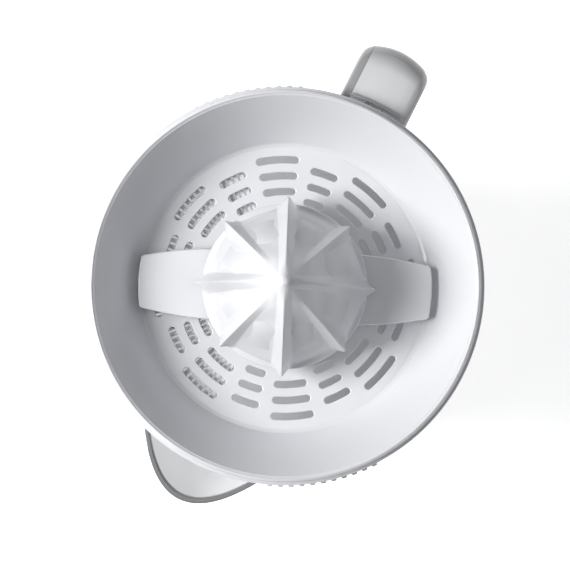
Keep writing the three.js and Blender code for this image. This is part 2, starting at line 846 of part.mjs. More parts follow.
function sieveBowl() {
  const under = SIEVE_FLOOR - SIEVE_SKIN;
  const bowl = lathe(
    [
      [9.2, 126],
      [11.2, 126],
      [11.2, under],
      [15, under],
      [15, 139],
      [16, 139],
      [16, under],
      [61.2, under],
      [62.4, 143.2],
      [79.1, 167.4],
      [81.2, 167.2],
      [81.2, 166.2],
      [LIP_R, 166.2],
      [LIP_R, 168],
      [81.2, 168.7],
      [80.7, 170.2],
      [80, LIP_Z],
      [LIP_INNER_R, LIP_Z - 0.2],
      [61.2, SIEVE_FLOOR + 0.7],
      [SIEVE_FLOOR_R - 0.4, SIEVE_FLOOR],
      [12.2, SIEVE_FLOOR],
      [11.2, 149.5],
      [9.2, 149.5],
    ],
    32,
  );
  return cut(bowl, ...drainSlots());
}

function pulpSelector() {
  const bowl = lathe(
    [
      [16.5, SELECTOR_FLOOR[0]],
      [61.8, SELECTOR_FLOOR[0]],
      [64.3, 141.9],
      [77.9, 161.6],
      [FLANGE_R, 161.6],
      [FLANGE_R, 163.4],
      [77.2, 163.4],
      [63, 142.8],
      [61.2, SELECTOR_FLOOR[1]],
      [16.5, SELECTOR_FLOOR[1]],
    ],
    32,
  );
  const grips = [];
  const windows = [];
  const toothPitch = (GRIP_ARC[1] - GRIP_ARC[0]) / GRIP_TEETH;
  const windowZ = [SELECTOR_FLOOR[0] - 1, SELECTOR_FLOOR[1] + 1];
  for (const half of [0, 180]) {
    grips.push(sector(80.6, GRIP_R - 0.8, GRIP_ARC[0] + half, GRIP_ARC[1] + half, ...GRIP_Z, 3));
    for (let i = 0; i < GRIP_TEETH; i += 1) {
      const from = GRIP_ARC[0] + half + toothPitch * (i + 0.22);
      grips.push(sector(GRIP_R - 1.4, GRIP_R, from, from + toothPitch * 0.56, ...GRIP_Z, 1));
    }
  }
  for (let from = COMB_ARC[0] + COMB_PITCH / 4; from < COMB_ARC[1]; from += COMB_PITCH)
    windows.push(sector(...COMB_R, from, from + COMB_PITCH / 2, ...windowZ, 1));
  const turns = [135, 180, 225, 270, 315, 360];
  const spokes = turns.flatMap((turn) => SPOKE_ANGLES.map((a) => a + turn)).slice(0, -1);
  spokes.slice(1).forEach((to, i) => {
    windows.push(sector(...COMB_R, spokes[i] + SPOKE_HALF, to - SPOKE_HALF, ...windowZ, 3));
  });
  return cut(join(bowl, ...grips), ...windows);
}

// ---------------------------------------------------------------- wiper and cones

// Both arms in one outline: root edges meet the hub, the ends are arcs about the drive axis.
function wiperOutline() {
  const endHalf = (Math.asin(WIPER_END_WIDTH / 2 / WIPER_REACH) * 180) / Math.PI;
  const rootHalf = WIPER_ROOT_WIDTH / 2;
  const bulge = (rootHalf + WIPER_END_WIDTH / 2) / 2 + 0.9;
  const shape = new THREE.Shape();
  const [endX, endY] = polar(WIPER_REACH, endHalf);
  shape.moveTo(endX, -endY);
  shape.absarc(0, 0, WIPER_REACH, rad(-endHalf), rad(endHalf), false);
  shape.quadraticCurveTo(44, bulge, 24, rootHalf + 1);
  shape.lineTo(-24, rootHalf + 1);
  shape.quadraticCurveTo(-44, bulge, -endX, endY);
  shape.absarc(0, 0, WIPER_REACH, rad(180 - endHalf), rad(180 + endHalf), false);
  shape.quadraticCurveTo(-44, -bulge, -24, -rootHalf - 1);
  shape.lineTo(24, -rootHalf - 1);
  shape.quadraticCurveTo(44, -bulge, endX, -endY);
  return shape;
}

function wiper() {
  const [z0, z1] = [WIPER_TOP - WIPER_SKIN, WIPER_TOP];
  const arms = plate(wiperOutline(), z0, z1, 3);
  const hub = lathe(
    [
      [15.2, 144.4],
      [17.2, 144.4],
      [17.2, z0],
      [31, z0],
      [31, z1],
      [15.2, z1],
    ],
    28,
  );
  const bore = post(15.2, z0 - 1, z1 + 1, { sides: 28 });
  const blades = [-1, 1].map((side) =>
    block(side > 0 ? [24, 58] : [-58, -24], [-1, 1], [145.2, z0 + 0.5]),
  );
  const keys = [-1, 1].map((side) =>
    block(side > 0 ? [13.1, 15.8] : [-15.8, -13.1], [-1.8, 1.8], [146, z0 - 0.2]),
  );
  return join(cut(arms, bore), hub, ...blades, ...keys).rotate([0, 0, WIPER_AXIS]);
}

// Moves a turned surface's outer face in and out: `reach` gives the new radius from the old one, the
// height and the angle from a main rib. Faces inside `innerRadius` are left alone.
function ribbed(geometry, reach, innerRadius) {
  const position = geometry.attributes.position;
  for (let i = 0; i < position.count; i += 1) {
    const [x, y, z] = [position.getX(i), position.getY(i), position.getZ(i)];
    const r = Math.hypot(x, y);
    if (r < 1e-6 || r <= innerRadius(z)) continue;
    const scale = reach(r, z, Math.atan2(y, x)) / r;
    position.setXY(i, x * scale, y * scale);
  }
  return geometry;
}

const smoothstep = (low, high, value) => {
  const t = Math.min(1, Math.max(0, (value - low) / (high - low)));
  return t * t * (3 - 2 * t);
};

// A rib's cross-section: 1 on its crest, falling in a hollow curve to 0 at its foot.
const ridge = (across, halfWidth) => Math.max(0, 1 - across / halfWidth) ** 1.3;

// Radius of the large cone at a share t of its height: a hollow facet between every two ribs, four
// tall ribs that reach the tip and four low ones that die out below it.
function coneRadius(angle, t) {
  const foot = CONE_TIP_R + (CONE_VALLEY_R - CONE_TIP_R) * (1 - t ** 1.5);
  const turn = (((angle * 180) / Math.PI) % 90 + 90) % 90;
  const toTall = rad(Math.min(turn, 90 - turn)) * foot;
  const toLow = rad(Math.abs(turn - 45)) * foot;
  const u = (turn % 45) / 22.5 - 1;
  const hollow = 0.05 + 0.045 * smoothstep(0, 0.3, t);
  const tall = (CONE_RIB_R - CONE_VALLEY_R - 1.2) * (1 - t) ** 0.9 + 1.5 * (1 - smoothstep(0.9, 1, t));
  const low = (CONE_RIB_R - CONE_VALLEY_R - 0.3) * Math.max(0, 1 - t / 0.84) ** 0.9;
  return (
    foot * (1 - hollow * (1 - u * u)) +
    tall * ridge(toTall, 2.7 + 2.3 * (1 - t)) +
    low * ridge(toLow, 1.7 + 2.6 * (1 - t))
  );
}

function largeCone() {
  const bandTop = CONE_BASE + 1.9;
  const tip = CONE_BASE + CONE_HEIGHT - 1;
  const levels = [0.03, 0.1, 0.2, 0.32, 0.44, 0.56, 0.68, 0.79, 0.88, 0.95, 1];
  const profile = turned(
    [
      [30.4, CONE_BASE],
      [CONE_BASE_R, CONE_BASE],
      [CONE_BASE_R, bandTop],
      ...levels.map((t) => [CONE_BASE_R, bandTop + (tip - bandTop) * t]),
      [CONE_TIP_R * 0.6, tip + 0.8],
      [0.01, CONE_BASE + CONE_HEIGHT],
      [0.01, 199],
      [8, 195.5],
      [20, 184],
      [27.6, 170],
    ],
    64,
  );
  const inside = (z) => (z < 198 ? 30.6 - Math.max(0, z - 170) * 0.62 : CONE_TIP_R * 0.7);
  const body = ribbed(
    profile,
    (r, z, angle) => {
      if (z > bandTop + 0.01) return coneRadius(angle, Math.min(1, (z - bandTop) / (tip - bandTop)));
      return Math.max(CONE_BASE_R, coneRadius(angle, 0) - 0.4);
    },
    inside,
  );
  return solid(body);
}

// 1 on a rib of the small cone, falling in a hollow curve to 0 half way to the next one.
const crest = (angle) => (1 - Math.abs(Math.sin((angle * SMALL_CONE_RIBS) / 2))) ** 1.25;

function smallCone() {
  const profile = turned(
    [
      [0, SMALL_CONE_TOP],
      [3, 194.3],
      [10, 188.5],
      [17, 179],
      [23, 166],
      [SMALL_CONE_R, CONE_BASE + GAP],
      [24.4, CONE_BASE + GAP],
      [14.7, 172],
      [14.7, 147],
      [12.2, 147],
      [12.2, 153],
      [8.6, 153],
      [8.6, 128.5],
      [0, 128.5],
    ],
    32,
  );
  const inside = (z) => (z > 162 ? 14.8 : SMALL_CONE_R - 1);
  const body = solid(
    ribbed(profile, (r, z, angle) => r + SMALL_CONE_RIB * crest(angle), inside),
  );
  const socket = post(HEX_BORE_R, 128, 152.6, { sides: 6 });
  const keyways = block([-16, 16], [-2.3, 2.3], [145, 153.4]);
  const keep = post(12, 120, 153.4, { sides: 28 });
  return cut(body, socket, cut(keyways, keep));
}

// ---------------------------------------------------------------- the whole juicer

const juicer = groupOf(
  basePieces(),
  drivePieces(),
  spindlePieces(),
  named("jug", jug(), clearSmoke()),
  named("sieve_bowl", sieveBowl(), whiteGloss()),
  named("pulp_selector", pulpSelector(), whiteSatin()),
  named("wiper", wiper(), whiteGloss()),
  named("small_cone", smallCone().rotate([0, 0, WIPER_AXIS]), whiteSatin()),
  named("large_cone", largeCone().rotate([0, 0, WIPER_AXIS]), whiteGloss()),
);

export default juicer;
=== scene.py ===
"""Looks for the citrus press juicer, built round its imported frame."""

import json
import math

import bmesh
import bpy
from mathutils import Matrix, Vector


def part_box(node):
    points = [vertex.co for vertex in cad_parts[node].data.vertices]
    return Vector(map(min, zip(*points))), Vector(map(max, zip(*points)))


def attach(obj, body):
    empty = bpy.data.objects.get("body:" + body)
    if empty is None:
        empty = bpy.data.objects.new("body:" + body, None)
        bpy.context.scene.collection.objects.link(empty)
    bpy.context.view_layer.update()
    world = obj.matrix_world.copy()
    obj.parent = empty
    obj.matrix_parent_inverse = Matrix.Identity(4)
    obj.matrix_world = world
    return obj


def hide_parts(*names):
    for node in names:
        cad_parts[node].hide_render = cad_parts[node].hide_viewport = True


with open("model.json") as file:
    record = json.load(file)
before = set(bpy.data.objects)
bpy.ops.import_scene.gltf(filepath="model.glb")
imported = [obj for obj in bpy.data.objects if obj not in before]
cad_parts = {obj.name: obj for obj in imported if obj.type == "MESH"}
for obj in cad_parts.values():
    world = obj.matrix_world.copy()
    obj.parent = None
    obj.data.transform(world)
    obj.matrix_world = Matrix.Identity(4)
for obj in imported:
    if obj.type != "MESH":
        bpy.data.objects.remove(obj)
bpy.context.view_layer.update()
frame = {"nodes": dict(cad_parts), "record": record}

MM = 0.001
ROUND_STEPS = 192  # facets round a large turned piece

# ------------------------------------------------------------------ sizes, in millimetres, from the frame


def top_of(node):
    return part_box(node)[1].z / MM


def foot_of(node):
    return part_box(node)[0].z / MM


LIP_R = max(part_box("sieve_bowl")[1].x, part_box("sieve_bowl")[1].y) / MM
LIP_TOP = top_of("sieve_bowl")
LIP_FOOT = LIP_TOP - 5.2
SIEVE_FLOOR = LIP_TOP - 27.4
SIEVE_SKIN = 2.0
SLOT_WIDTH = 3.0
SLOT_GROUPS = 8
LONG_SLOTS = {"angle": 29.9, "half": 9.65, "rows": (54.4, 47.6, 40.9)}
SHORT_SLOTS = {"angle": 52.4, "half": 6.7, "rows": (50.9, 44.1, 37.4)}

GRIP_R = 83.4
GRIP_ARC = (20.6, 57.6)
GRIP_PITCH = 3.1
COMB_ARC = (44.7, 175.5)
COMB_PITCH = 130.8 / 43
COMB_GAP = 0.36  # share of the pitch that is open
SPOKE_ANGLES = (42.6, 62.2)
SPOKE_HALF = 2.1
COMB_R = (34.0, 57.5)

CONE_FOOT = foot_of("large_cone")
CONE_TOP = top_of("large_cone")
CONE_RING_R = 34.5
CONE_RIB_R = 37.9
CONE_TIP_R = 1.9
CONE_VALLEY_R = 33.6
CONE_FACET_DEPTH = 0.095  # hollow of a facet, as a share of the radius there
SMALL_CONE_TOP = top_of("small_cone")
SMALL_CONE_FOOT = CONE_FOOT + 0.3
WIPER_TOP = top_of("wiper")
WIPER_SKIN = 2.4
WIPER_REACH = 61.7
WIPER_END_WIDTH = 22.5
WIPER_ROOT_WIDTH = 30.2
WIPER_AXIS = 114.3

JUG_FOOT = foot_of("jug")
RIM_Z = 161.2
RIM_R = 81.0
JUG_WALL = 2.2
JUG_STEPS = 320
SPOUT_REACH = -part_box("jug")[0].x / MM
SPOUT_CURVE = 16.85  # the spout is a parabola in plan, and this is its radius at the tip of the lip
SPOUT_ROOT_Z = 109.2
SPOUT_ROOT_REACH = 73.0
SPOUT_ROOT_CURVE = 9.0
COLUMN_TOP = 138.5
HANDLE_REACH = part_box("jug")[1].x / MM
HANDLE_WIDTH = 30.6
HANDLE_BOTTOM = 90.0
HANDLE_FLANGE = 3.9
HANDLE_DEPTH = 9.0
HANDLE_END_CURVE = 27.0
NEAR_BAND = HANDLE_WIDTH / 2 - 4.0
# painted shade on the handle: a crisp dark band along the near edge, a softer one on the far side, and
# darkening at the outer end where the top turns down
NEAR_BAND_PAINTED_SHADE = 0.85
FAR_SIDE_PAINTED_SHADE = 0.36
END_PAINTED_SHADE = 0.72
HANDLE_TOP_DEPTH = 0.85
HANDLE_INSIDE_DEPTH = -0.3  # below 0, so the strap and the inner faces don't show
SPOUT_DEPTH = 0.3

BASE_R = max(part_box("base_housing")[1].x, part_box("base_housing")[1].y) / MM
DECK_Z = 74.0
NECK_TOP = top_of("base_housing")

# ------------------------------------------------------------------ mesh helpers


def polar(r, degrees):
    a = math.radians(degrees)
    return r * math.cos(a), r * math.sin(a)


def smoothstep(low, high, value):
    t = min(1.0, max(0.0, (value - low) / (high - low)))
    return t * t * (3 - 2 * t)


def mesh_piece(name, verts, faces, sharp=35.0):
    """A smooth-shaded mesh object from millimetre coordinates, creased where faces meet sharply."""
    mesh = bpy.data.meshes.new(name)
    mesh.from_pydata([Vector(v) * MM for v in verts], [], faces)
    obj = bpy.data.objects.new(name, mesh)
    bpy.context.scene.collection.objects.link(obj)
    tidy_mesh(obj, sharp)
    return obj


def tidy_mesh(obj, sharp=35.0):
    """Merges doubled points, turns the faces out and sets smooth shading with creases."""
    bm = bmesh.new()
    bm.from_mesh(obj.data)
    bmesh.ops.remove_doubles(bm, verts=bm.verts, dist=1e-7)
    bmesh.ops.recalc_face_normals(bm, faces=bm.faces)
    bm.to_mesh(obj.data)
    bm.free()
    for polygon in obj.data.polygons:
        polygon.use_smooth = True
    obj.data.set_sharp_from_angle(angle=math.radians(sharp))


def rounded(points, arc_steps=5):
    """A closed outline of (r, z, fillet) corners with each corner turned into an arc of that radius."""
    outline = []
    count = len(points)
    for i, (r, z, fillet) in enumerate(points):
        corner = Vector((r, z))
        if fillet <= 0:
            outline.append((r, z))
            continue
        before = Vector(points[i - 1][:2]) - corner
        after = Vector(points[(i + 1) % count][:2]) - corner
        half = before.angle(after) / 2
        setback = min(fillet / math.tan(half), before.length * 0.49, after.length * 0.49)
        radius = setback * math.tan(half)
        start = corner + before.normalized() * setback
        end = corner + after.normalized() * setback
        centre = corner + (before.normalized() + after.normalized()).normalized() * (
            radius / math.sin(half)
        )
        for k in range(arc_steps + 1):
            t = k / arc_steps
            spoke = (start - centre).lerp(end - centre, t).normalized() * radius
            outline.append(tuple(centre + spoke))
    return outline


def turned_grid(name, stations, steps=ROUND_STEPS, closed=True, sharp=35.0, turn=0.0):
    """A surface turned round Z. A station is (r, z), or a function of the angle that returns (r, z)."""
    verts = []
    for station in stations:
        for k in range(steps):
            degrees = 360 * k / steps
            r, z = station(degrees) if callable(station) else station
            x, y = polar(r, degrees + turn)
            verts.append((x, y, z))
    faces = []
    count = len(stations)
    for s in range(count if closed else count - 1):
        here, there = s * steps, ((s + 1) % count) * steps
        for k in range(steps):
            k1 = (k + 1) % steps
            faces.append((here + k, here + k1, there + k1, there + k))
    return mesh_piece(name, verts, faces, sharp)


def lathe(name, corners, steps=ROUND_STEPS, arc_steps=5, sharp=35.0):
    return turned_grid(name, rounded(corners, arc_steps), steps, True, sharp)


def flat_outline(name, loops, z0, z1, bevel, bevel_steps=3):
    """A plate between two heights from closed outlines: the first is its edge, the rest are holes."""
    curve = bpy.data.curves.new(name, "CURVE")
    curve.dimensions = "2D"
    curve.fill_mode = "BOTH"
    curve.extrude = ((z1 - z0) / 2 - bevel) * MM
    curve.bevel_depth = bevel * MM
    curve.bevel_resolution = bevel_steps
    curve.offset = -bevel * MM
    for loop in loops:
        spline = curve.splines.new("POLY")
        spline.points.add(len(loop) - 1)
        for point, (x, y) in zip(spline.points, loop):
            point.co = (x * MM, y * MM, 0, 1)
        spline.use_cyclic_u = True
    maker = bpy.data.objects.new(name + "_outline", curve)
    bpy.context.scene.collection.objects.link(maker)
    bpy.context.view_layer.update()
    mesh = bpy.data.meshes.new_from_object(
        maker.evaluated_get(bpy.context.evaluated_depsgraph_get())
    )
    bpy.data.objects.remove(maker)
    bpy.data.curves.remove(curve)
    mesh.name = name
    mesh.transform(Matrix.Translation((0, 0, (z0 + z1) / 2 * MM)))
    obj = bpy.data.objects.new(name, mesh)
    bpy.context.scene.collection.objects.link(obj)
    tidy_mesh(obj, 25.0)
    obj.modifiers.new("even_shading", "WEIGHTED_NORMAL").keep_sharp = True
    return obj


def circle_loop(r, steps, x=0.0, y=0.0):
    return [(x + polar(r, 360 * k / steps)[0], y + polar(r, 360 * k / steps)[1]) for k in range(steps)]


def box_piece(name, low, high, bevel=0.0, turn=0.0):
    """A block with rounded edges, turned about Z."""
    bm = bmesh.new()
    bmesh.ops.create_cube(bm, size=1.0)
    size = Vector(high) - Vector(low)
    centre = (Vector(high) + Vector(low)) / 2
    bmesh.ops.scale(bm, vec=size, verts=bm.verts)
    bmesh.ops.translate(bm, vec=centre, verts=bm.verts)
    if bevel:
        bmesh.ops.bevel(
            bm, geom=bm.edges[:], offset=bevel, segments=3, profile=0.5, affect="EDGES"
        )
    bmesh.ops.rotate(bm, matrix=Matrix.Rotation(math.radians(turn), 3, "Z"), verts=bm.verts)
    bmesh.ops.scale(bm, vec=(MM, MM, MM), verts=bm.verts)
    mesh = bpy.data.meshes.new(name)
    bm.to_mesh(mesh)
    bm.free()
    obj = bpy.data.objects.new(name, mesh)
    bpy.context.scene.collection.objects.link(obj)
    for polygon in mesh.polygons:
        polygon.use_smooth = True
    mesh.set_sharp_from_angle(angle=math.radians(35))
    return obj


def joined(name, pieces):
    """Several objects of one moulding as one."""
    bpy.ops.object.select_all(action="DESELECT")
    for piece in pieces:
        piece.select_set(True)
    bpy.context.view_layer.objects.active = pieces[0]
    bpy.ops.object.join()
    pieces[0].name = name
    pieces[0].data.name = name
    return pieces[0]


def carve(obj, cutters):
    """Cuts the cutters out of obj and removes them."""
    for cutter in cutters:
        boolean = obj.modifiers.new("cut", "BOOLEAN")
        boolean.object = cutter
        boolean.operation = "DIFFERENCE"
        boolean.solver = "EXACT"
    bpy.context.view_layer.update()
    evaluated = obj.evaluated_get(bpy.context.evaluated_depsgraph_get())
    mesh = bpy.data.meshes.new_from_object(evaluated)
    mesh.name = obj.name
    obj.modifiers.clear()
    obj.data = mesh
    for cutter in cutters:
        bpy.data.objects.remove(cutter)
    tidy_mesh(obj, 30.0)
    return obj


def post(name, r, z0, z1, x=0.0, y=0.0, sides=32):
    obj = turned_grid(name, [(0, z0), (r, z0), (r, z1), (0, z1)], sides, False)
    obj.data.transform(Matrix.Translation((x * MM, y * MM, 0)))
    return obj


# ------------------------------------------------------------------ shader groups


def new_group(name, inputs, outputs):
    """A shader node group with its input and output nodes. inputs are (name, socket type, default)."""
    group = bpy.data.node_groups.new(name, "ShaderNodeTree")
    for label, kind, default in inputs:
        socket = group.interface.new_socket(label, in_out="INPUT", socket_type=kind)
        socket.default_value = default
    for label, kind in outputs:
        group.interface.new_socket(label, in_out="OUTPUT", socket_type=kind)
    entry = group.nodes.new("NodeGroupInput")
    leave = group.nodes.new("NodeGroupOutput")
    return group, entry, leave


def maths(tree, operation, a, b=None, clamp=False):
    node = tree.nodes.new("ShaderNodeMath")
    node.operation = operation
    node.use_clamp = clamp
    for socket, value in zip(node.inputs, (a, b)):
        if value is None:
            continue
        if isinstance(value, (int, float)):
            socket.default_value = value
        else:
            tree.links.new(value, socket)
    return node.outputs[0]


def noise(tree, vector, scale, detail=3.0, roughness=0.5):
    node = tree.nodes.new("ShaderNodeTexNoise")
    node.inputs["Detail"].default_value = detail
    node.inputs["Roughness"].default_value = roughness
    tree.links.new(vector, node.inputs["Vector"])
    if isinstance(scale, (int, float)):
        node.inputs["Scale"].default_value = scale
    else:
        tree.links.new(scale, node.inputs["Scale"])
    return node.outputs["Fac"]


def colour_mix(tree, factor, a, b):
    node = tree.nodes.new("ShaderNodeMix")
    node.data_type = "RGBA"
    for socket, value in ((node.inputs[0], factor), (node.inputs[6], a), (node.inputs[7], b)):
        if isinstance(value, (int, float)):
            socket.default_value = value
        elif isinstance(value, tuple):
            socket.default_value = (*value, 1)
        else:
            tree.links.new(value, socket)
    return node.outputs[2]


def moulded_skin_group():
    """Injection-moulded plastic: faint flow shading in the colour, uneven gloss, and a fine skin."""
    group, entry, leave = new_group(
        "moulded_skin",
        [
            ("Tint", "NodeSocketColor", (0.8, 0.8, 0.8, 1)),
            ("Flow Tint", "NodeSocketColor", (0.7, 0.7, 0.75, 1)),
            ("Flow", "NodeSocketFloat", 0.2),
            ("Gloss Roughness", "NodeSocketFloat", 0.2),
            ("Unevenness", "NodeSocketFloat", 0.05),
            ("Grain Scale", "NodeSocketFloat", 900.0),
        ],
        [
            ("Color", "NodeSocketColor"),
            ("Roughness", "NodeSocketFloat"),
            ("Height", "NodeSocketFloat"),
        ],
    )
    place = group.nodes.new("ShaderNodeTexCoord").outputs["Object"]
    flow = noise(group, place, 22.0, 2.0)
    amount = maths(group, "MULTIPLY", flow, entry.outputs["Flow"], True)
    colour = colour_mix(group, amount, entry.outputs["Tint"], entry.outputs["Flow Tint"])
    patches = noise(group, place, 60.0, 4.0)
    centred = maths(group, "SUBTRACT", patches, 0.5)
    spread = maths(group, "MULTIPLY", centred, entry.outputs["Unevenness"])
    rough = maths(group, "ADD", spread, entry.outputs["Gloss Roughness"], True)
    grain = noise(group, place, entry.outputs["Grain Scale"], 2.0)
    waves = noise(group, place, 35.0, 1.0)
    height = maths(group, "ADD", maths(group, "MULTIPLY", grain, 0.25), waves)
    group.links.new(colour, leave.inputs["Color"])
    group.links.new(rough, leave.inputs["Roughness"])
    group.links.new(height, leave.inputs["Height"])
    return group


def turned_metal_group():
    """Machined metal: fine rings round the turning axis, and patches of tarnish."""
    group, entry, leave = new_group(
        "turned_metal",
        [
            ("Tint", "NodeSocketColor", (0.6, 0.6, 0.6, 1)),
            ("Tarnish", "NodeSocketColor", (0.3, 0.3, 0.3, 1)),
            ("Tarnish Amount", "NodeSocketFloat", 0.3),
            ("Polish Roughness", "NodeSocketFloat", 0.3),
        ],
        [
            ("Color", "NodeSocketColor"),
            ("Roughness", "NodeSocketFloat"),
            ("Height", "NodeSocketFloat"),
        ],
    )
    place = group.nodes.new("ShaderNodeTexCoord").outputs["Object"]
    rings = group.nodes.new("ShaderNodeTexWave")
    rings.bands_direction = "Z"
    rings.inputs["Scale"].default_value = 900.0
    rings.inputs["Distortion"].default_value = 1.5
    group.links.new(place, rings.inputs["Vector"])
    patches = noise(group, place, 140.0, 5.0)
    amount = maths(group, "MULTIPLY", patches, entry.outputs["Tarnish Amount"], True)
    colour = colour_mix(group, amount, entry.outputs["Tint"], entry.outputs["Tarnish"])
    ringed = maths(group, "MULTIPLY", rings.outputs["Fac"], 0.12)
    rough = maths(group, "ADD", ringed, entry.outputs["Polish Roughness"], True)
    group.links.new(colour, leave.inputs["Color"])
    group.links.new(rough, leave.inputs["Roughness"])
    group.links.new(rings.outputs["Fac"], leave.inputs["Height"])
    return group


MOULDED_SKIN = moulded_skin_group()
TURNED_METAL = turned_metal_group()


def shaded(name, group, values, bump, sockets):
    """A material whose colour, roughness and skin come from a group; sockets are set as constants."""
    material = bpy.data.materials.new(name)
    material.use_nodes = True
    tree = material.node_tree
    shader = tree.nodes["Principled BSDF"]
    skin = tree.nodes.new("ShaderNodeGroup")
    skin.node_tree = group
    for label, value in values.items():
        skin.inputs[label].default_value = (*value, 1) if isinstance(value, tuple) else value
    for label, value in sockets.items():
        shader.inputs[label].default_value = value
    relief = tree.nodes.new("ShaderNodeBump")
    relief.inputs["Strength"].default_value = bump[0]
    relief.inputs["Distance"].default_value = bump[1]
    tree.links.new(skin.outputs["Color"], shader.inputs["Base Color"])
    tree.links.new(skin.outputs["Roughness"], shader.inputs["Roughness"])
    tree.links.new(skin.outputs["Height"], relief.inputs["Height"])
    tree.links.new(relief.outputs["Normal"], shader.inputs["Normal"])
    return material


def plastic(name, tint_or_painted_shade, flow_tint, flow, roughness, unevenness, grain, bump, coat=0.0, **sockets):
    return shaded(
        name,
        MOULDED_SKIN,
        {
            "Tint": tint_or_painted_shade,
            "Flow Tint": flow_tint,
            "Flow": flow,
            "Gloss Roughness": roughness,
            "Unevenness": unevenness,
            "Grain Scale": grain,
        },
        bump,
        {"Coat Weight": coat, "Coat Roughness": 0.04, **sockets},
    )


def metal(name, tint_or_painted_shade, tarnish, amount, roughness):
    return shaded(
        name,
        TURNED_METAL,
        {"Tint": tint_or_painted_shade, "Tarnish": tarnish, "Tarnish Amount": amount, "Polish Roughness": roughness},
        (0.15, 0.00005),
        {"Metallic": 1.0},
    )


def white_gloss():
    return plastic(
        "white_gloss", (0.79, 0.795, 0.822), (0.75, 0.755, 0.795), 0.35, 0.24, 0.06, 700.0,
        (0.05, 0.0004), coat=0.12,
    )


def white_satin():
    return plastic(
        "white_satin", (0.74, 0.745, 0.77), (0.69, 0.695, 0.73), 0.35, 0.42, 0.10, 1500.0,
        (0.12, 0.0003),
    )


def black_plastic():
    return plastic(
        "black_plastic", (0.025, 0.025, 0.028), (0.05, 0.05, 0.05), 0.4, 0.5, 0.12, 1600.0,
        (0.2, 0.0003),
    )


def acetal():
    return plastic(
        "acetal", (0.78, 0.76, 0.70), (0.70, 0.67, 0.58), 0.5, 0.38, 0.08, 1200.0, (0.1, 0.0002)
    )


def rubber():
    return plastic(
        "rubber", (0.035, 0.035, 0.038), (0.07, 0.07, 0.068), 0.6, 0.78, 0.15, 2200.0,
        (0.35, 0.0004),
    )


def clear_jug():
    """Clear moulding: thin walls let most light by; opacity is raised where the plastic is seen through its
    depth, and a painted shade darkens the colour there.
    """
    material = plastic(
        "clear_jug", (0.78, 0.785, 0.795), (0.70, 0.71, 0.72), 0.3, 0.07, 0.03, 500.0,
        (0.04, 0.0004), **{"IOR": 1.57},
    )
    tree = material.node_tree
    shader = tree.nodes["Principled BSDF"]
    depth = tree.nodes.new("ShaderNodeAttribute")
    depth.attribute_name = "edge_depth"
    tint_or_painted_shade = tree.nodes.new("ShaderNodeAttribute")
    tint_or_painted_shade.attribute_name = "painted_edge_shade"
    skin = next(n for n in tree.nodes if n.type == "GROUP").outputs["Color"]
    # painted shade: the painted shade attribute mixes the colour towards dark grey, standing in for
    # refraction in thick clear plastic
    colour = colour_mix(tree, tint_or_painted_shade.outputs["Fac"], skin, (0.22, 0.224, 0.23))
    tree.links.new(colour, shader.inputs["Base Color"])
    grazing = tree.nodes.new("ShaderNodeLayerWeight")
    grazing.inputs["Blend"].default_value = 0.25
    rim = maths(tree, "MULTIPLY", grazing.outputs["Fresnel"], 0.35)
    alpha = maths(tree, "ADD", maths(tree, "ADD", rim, depth.outputs["Fac"]), 0.05, True)
    tree.links.new(alpha, shader.inputs["Alpha"])
    return material


def steel():
    return metal("steel", (0.60, 0.61, 0.63), (0.42, 0.42, 0.44), 0.4, 0.22)


def zinc_plate():
    return metal("zinc_plate", (0.52, 0.53, 0.55), (0.36, 0.37, 0.40), 0.6, 0.34)


def bronze():
    return metal("bronze", (0.55, 0.38, 0.19), (0.30, 0.20, 0.10), 0.5, 0.36)


FINISHES = {
    make.__name__: make()
    for make in (
        white_gloss, white_satin, black_plastic, acetal, rubber, clear_jug, steel, zinc_plate, bronze,
    )
}
SLOT_OF = {entry["node"]: entry["material_slot"] for entry in frame["record"]["subparts"]}


def dress(obj, body, slot, *nodes):
    """Gives a piece its finish and its body, and hides the nodes it stands for."""
    obj.data.materials.clear()
    obj.data.materials.append(FINISHES[slot])
    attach(obj, body)
    if nodes:
        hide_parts(*nodes)
    return obj


# ------------------------------------------------------------------ sieve


def slot_loop(r, half, at):
    """One drain slot's outline: an arc of constant width with round ends."""
    end = SLOT_WIDTH / 2
    reach = half - math.degrees(end / r)
    steps = 8
    along = [reach * (2 * k / steps - 1) for k in range(steps + 1)]

    def round_end(angle, first):
        cx, cy = polar(r, angle)
        return [
            (cx + polar(end, angle + first + t)[0], cy + polar(end, angle + first + t)[1])
            for t in range(22, 180, 22)
        ]

    return (
        [polar(r + end, at + a) for a in along]
        + round_end(at + reach, 0)
        + [polar(r - end, at + a) for a in reversed(along)]
        + round_end(at - reach, 180)
    )


def drain_slots():
    return [
        slot_loop(r, group["half"], group["angle"] + 360 * k / SLOT_GROUPS)
        for group in (LONG_SLOTS, SHORT_SLOTS)
        for k in range(SLOT_GROUPS)
        for r in group["rows"]
    ]


